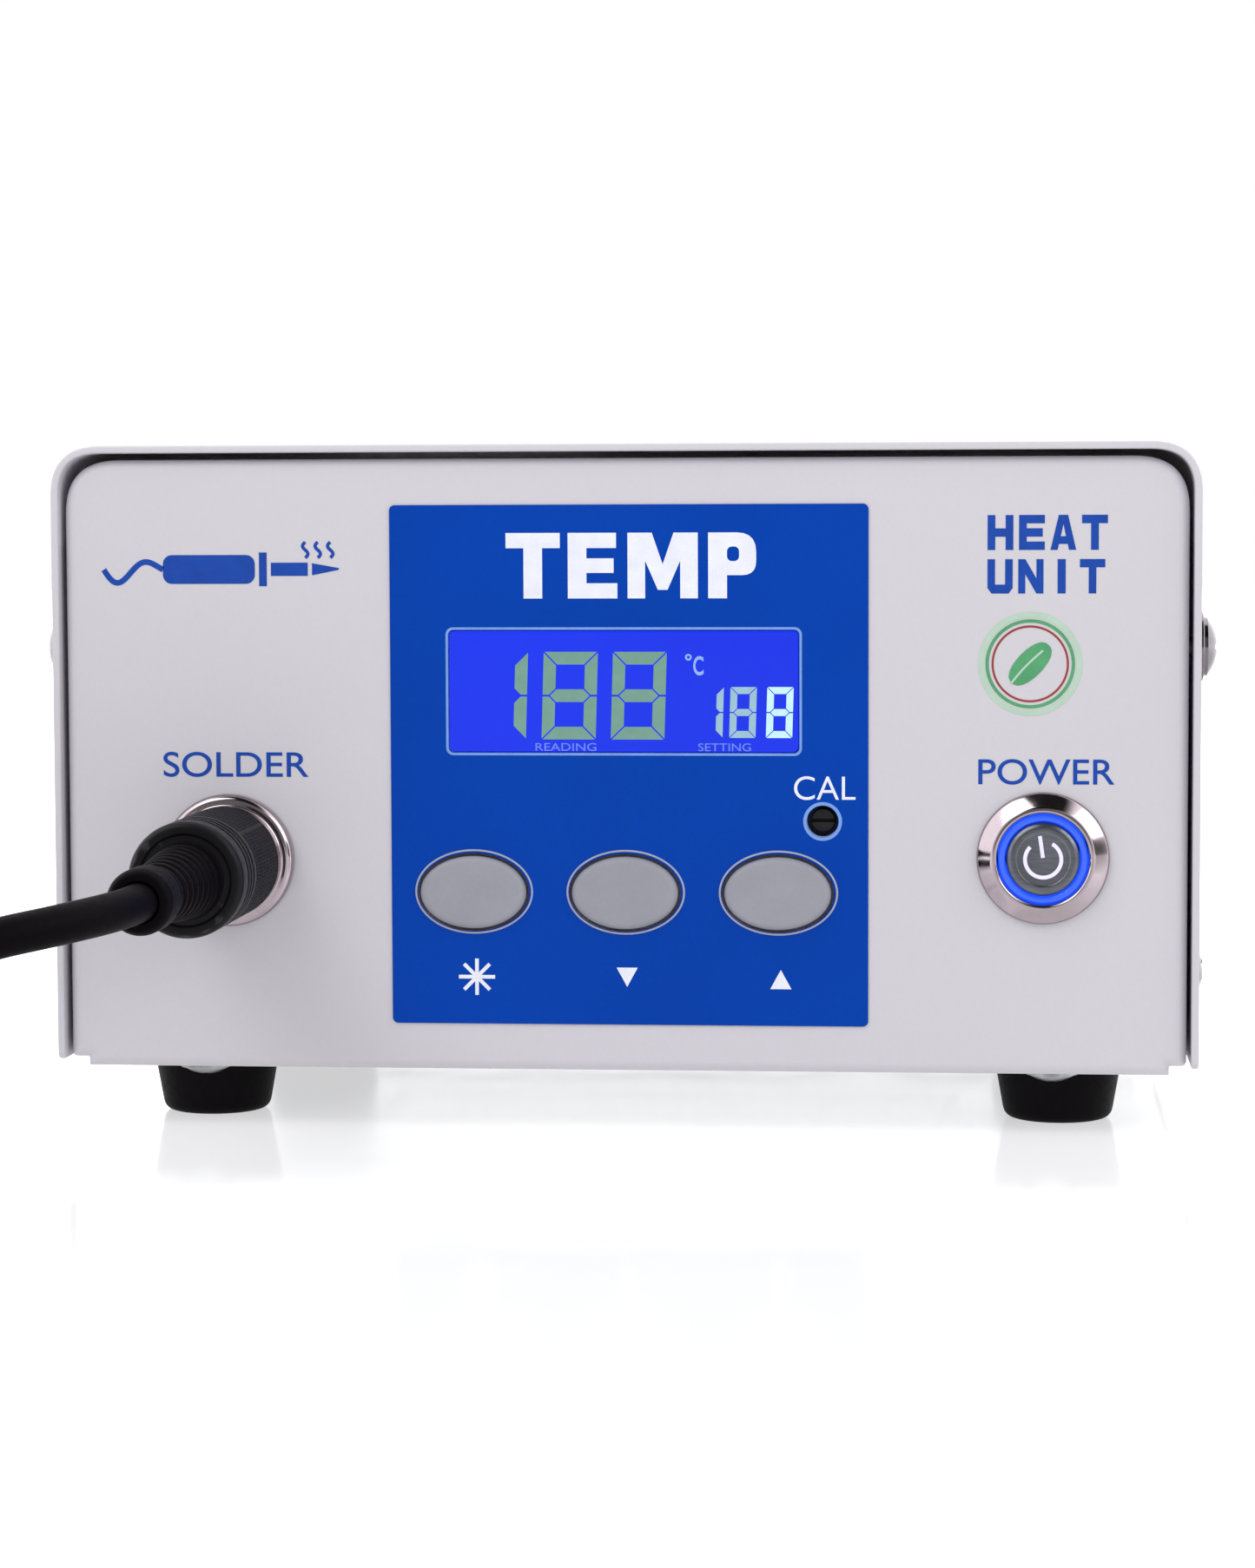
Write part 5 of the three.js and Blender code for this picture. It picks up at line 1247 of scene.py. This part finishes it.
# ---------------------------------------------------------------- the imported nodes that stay


def finish_packed_nodes():
    """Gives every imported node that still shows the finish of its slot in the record."""
    by_slot = paints()
    for name, node in frame["nodes"].items():
        node.data.materials.clear()
        node.data.materials.append(by_slot[SLOT_OF[name]])


# ---------------------------------------------------------------- operators and panel


class StationStage(bpy.types.Operator):
    """Set up the camera, the light and the floor"""

    bl_idname = "station.stage"
    bl_label = "Stage"

    def execute(self, context):
        context.scene.view_settings.view_transform = "Standard"
        aim_camera()
        light_world()
        add_light("Key light", (-0.7, -0.9, 1.3), (0, 0, 0.03), (0.9, 0.9), 9)
        add_light("Fill light", (1.2, -0.7, 0.8), (0, 0, 0.03), (0.8, 0.8), 4)
        make_floor()
        return {"FINISHED"}


class StationCord(bpy.types.Operator):
    """Build the iron's cord, its coil and the tie"""

    bl_idname = "station.cord"
    bl_label = "Cord"

    def execute(self, context):
        make_cord()
        return {"FINISHED"}


class StationInside(bpy.types.Operator):
    """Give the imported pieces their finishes"""

    bl_idname = "station.inside"
    bl_label = "Packed pieces"

    def execute(self, context):
        finish_packed_nodes()
        return {"FINISHED"}


class StationPanels(bpy.types.Operator):
    """Build the two bent panels and the cover"""

    bl_idname = "station.panels"
    bl_label = "Panels and cover"

    def execute(self, context):
        make_panels()
        make_cover()
        return {"FINISHED"}


class StationInlet(bpy.types.Operator):
    """Build the mains inlet and its fuse drawer"""

    bl_idname = "station.inlet"
    bl_label = "Mains inlet"

    def execute(self, context):
        make_inlet()
        return {"FINISHED"}


class StationIron(bpy.types.Operator):
    """Build the iron's boot, handle, grip and collar"""

    bl_idname = "station.iron"
    bl_label = "Iron"

    def execute(self, context):
        make_iron()
        return {"FINISHED"}


class StationLabel(bpy.types.Operator):
    """Build the label and the marks printed on it"""

    bl_idname = "station.label"
    bl_label = "Label"

    def execute(self, context):
        make_label()
        return {"FINISHED"}


class StationDisplay(bpy.types.Operator):
    """Build the display's pane and its digits"""

    bl_idname = "station.display"
    bl_label = "Display"

    def execute(self, context):
        make_display()
        return {"FINISHED"}


class StationKeys(bpy.types.Operator):
    """Build the three oval keys and the trimmer's rotor"""

    bl_idname = "station.keys"
    bl_label = "Keys"

    def execute(self, context):
        make_keys()
        make_trimmer()
        return {"FINISHED"}


class StationPowerSwitch(bpy.types.Operator):
    """Build the lit power switch"""

    bl_idname = "station.power_switch"
    bl_label = "Power switch"

    def execute(self, context):
        make_power_switch()
        return {"FINISHED"}


class StationFrontPrint(bpy.types.Operator):
    """Build the words and signs on the front panel"""

    bl_idname = "station.front_print"
    bl_label = "Front print"

    def execute(self, context):
        make_front_print()
        return {"FINISHED"}


class StationSocket(bpy.types.Operator):
    """Build the iron's socket and its plug"""

    bl_idname = "station.socket"
    bl_label = "Socket and plug"

    def execute(self, context):
        make_socket_and_plug()
        return {"FINISHED"}


class StationFeet(bpy.types.Operator):
    """Build the rubber feet and their screws"""

    bl_idname = "station.feet"
    bl_label = "Feet"

    def execute(self, context):
        make_feet()
        return {"FINISHED"}


class StationScrews(bpy.types.Operator):
    """Build the cover and base screws"""

    bl_idname = "station.screws"
    bl_label = "Screws"

    def execute(self, context):
        make_screws()
        return {"FINISHED"}


OPERATORS = (
    StationStage, StationCord, StationInside, StationPanels, StationInlet, StationIron, StationLabel,
    StationDisplay, StationKeys, StationPowerSwitch, StationFrontPrint, StationSocket, StationFeet,
    StationScrews,
)


class StationPanel(bpy.types.Panel):
    """The station's sizes, colours and builders in the sidebar"""

    bl_idname = "VIEW3D_PT_station"
    bl_label = "Soldering station"
    bl_space_type = "VIEW_3D"
    bl_region_type = "UI"
    bl_category = "Station"

    def draw(self, context):
        """List the settings, then the operators."""
        for settings in (context.scene.station_sizes, context.scene.station_colours):
            for field in settings.bl_rna.properties.keys():
                if field not in {"rna_type", "name"}:
                    self.layout.prop(settings, field)
        for operator in OPERATORS:
            self.layout.operator(operator.bl_idname)


CLASSES = (StationSizes, StationColours, *OPERATORS, StationPanel)


def register():
    """Register the settings, the operators and the panel."""
    for kind in CLASSES:
        bpy.utils.register_class(kind)
    bpy.types.Scene.station_sizes = PointerProperty(type=StationSizes)
    bpy.types.Scene.station_colours = PointerProperty(type=StationColours)


def unregister():
    """Take away what register added."""
    del bpy.types.Scene.station_colours
    del bpy.types.Scene.station_sizes
    for kind in reversed(CLASSES):
        bpy.utils.unregister_class(kind)


def main():
    """Build every piece in order."""
    register()
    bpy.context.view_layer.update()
    for operator in OPERATORS:
        group, name = operator.bl_idname.split(".")
        if getattr(getattr(bpy.ops, group), name)() != {"FINISHED"}:
            raise RuntimeError(f"{operator.bl_idname} did not finish")


if __name__ == "__main__":
    main()
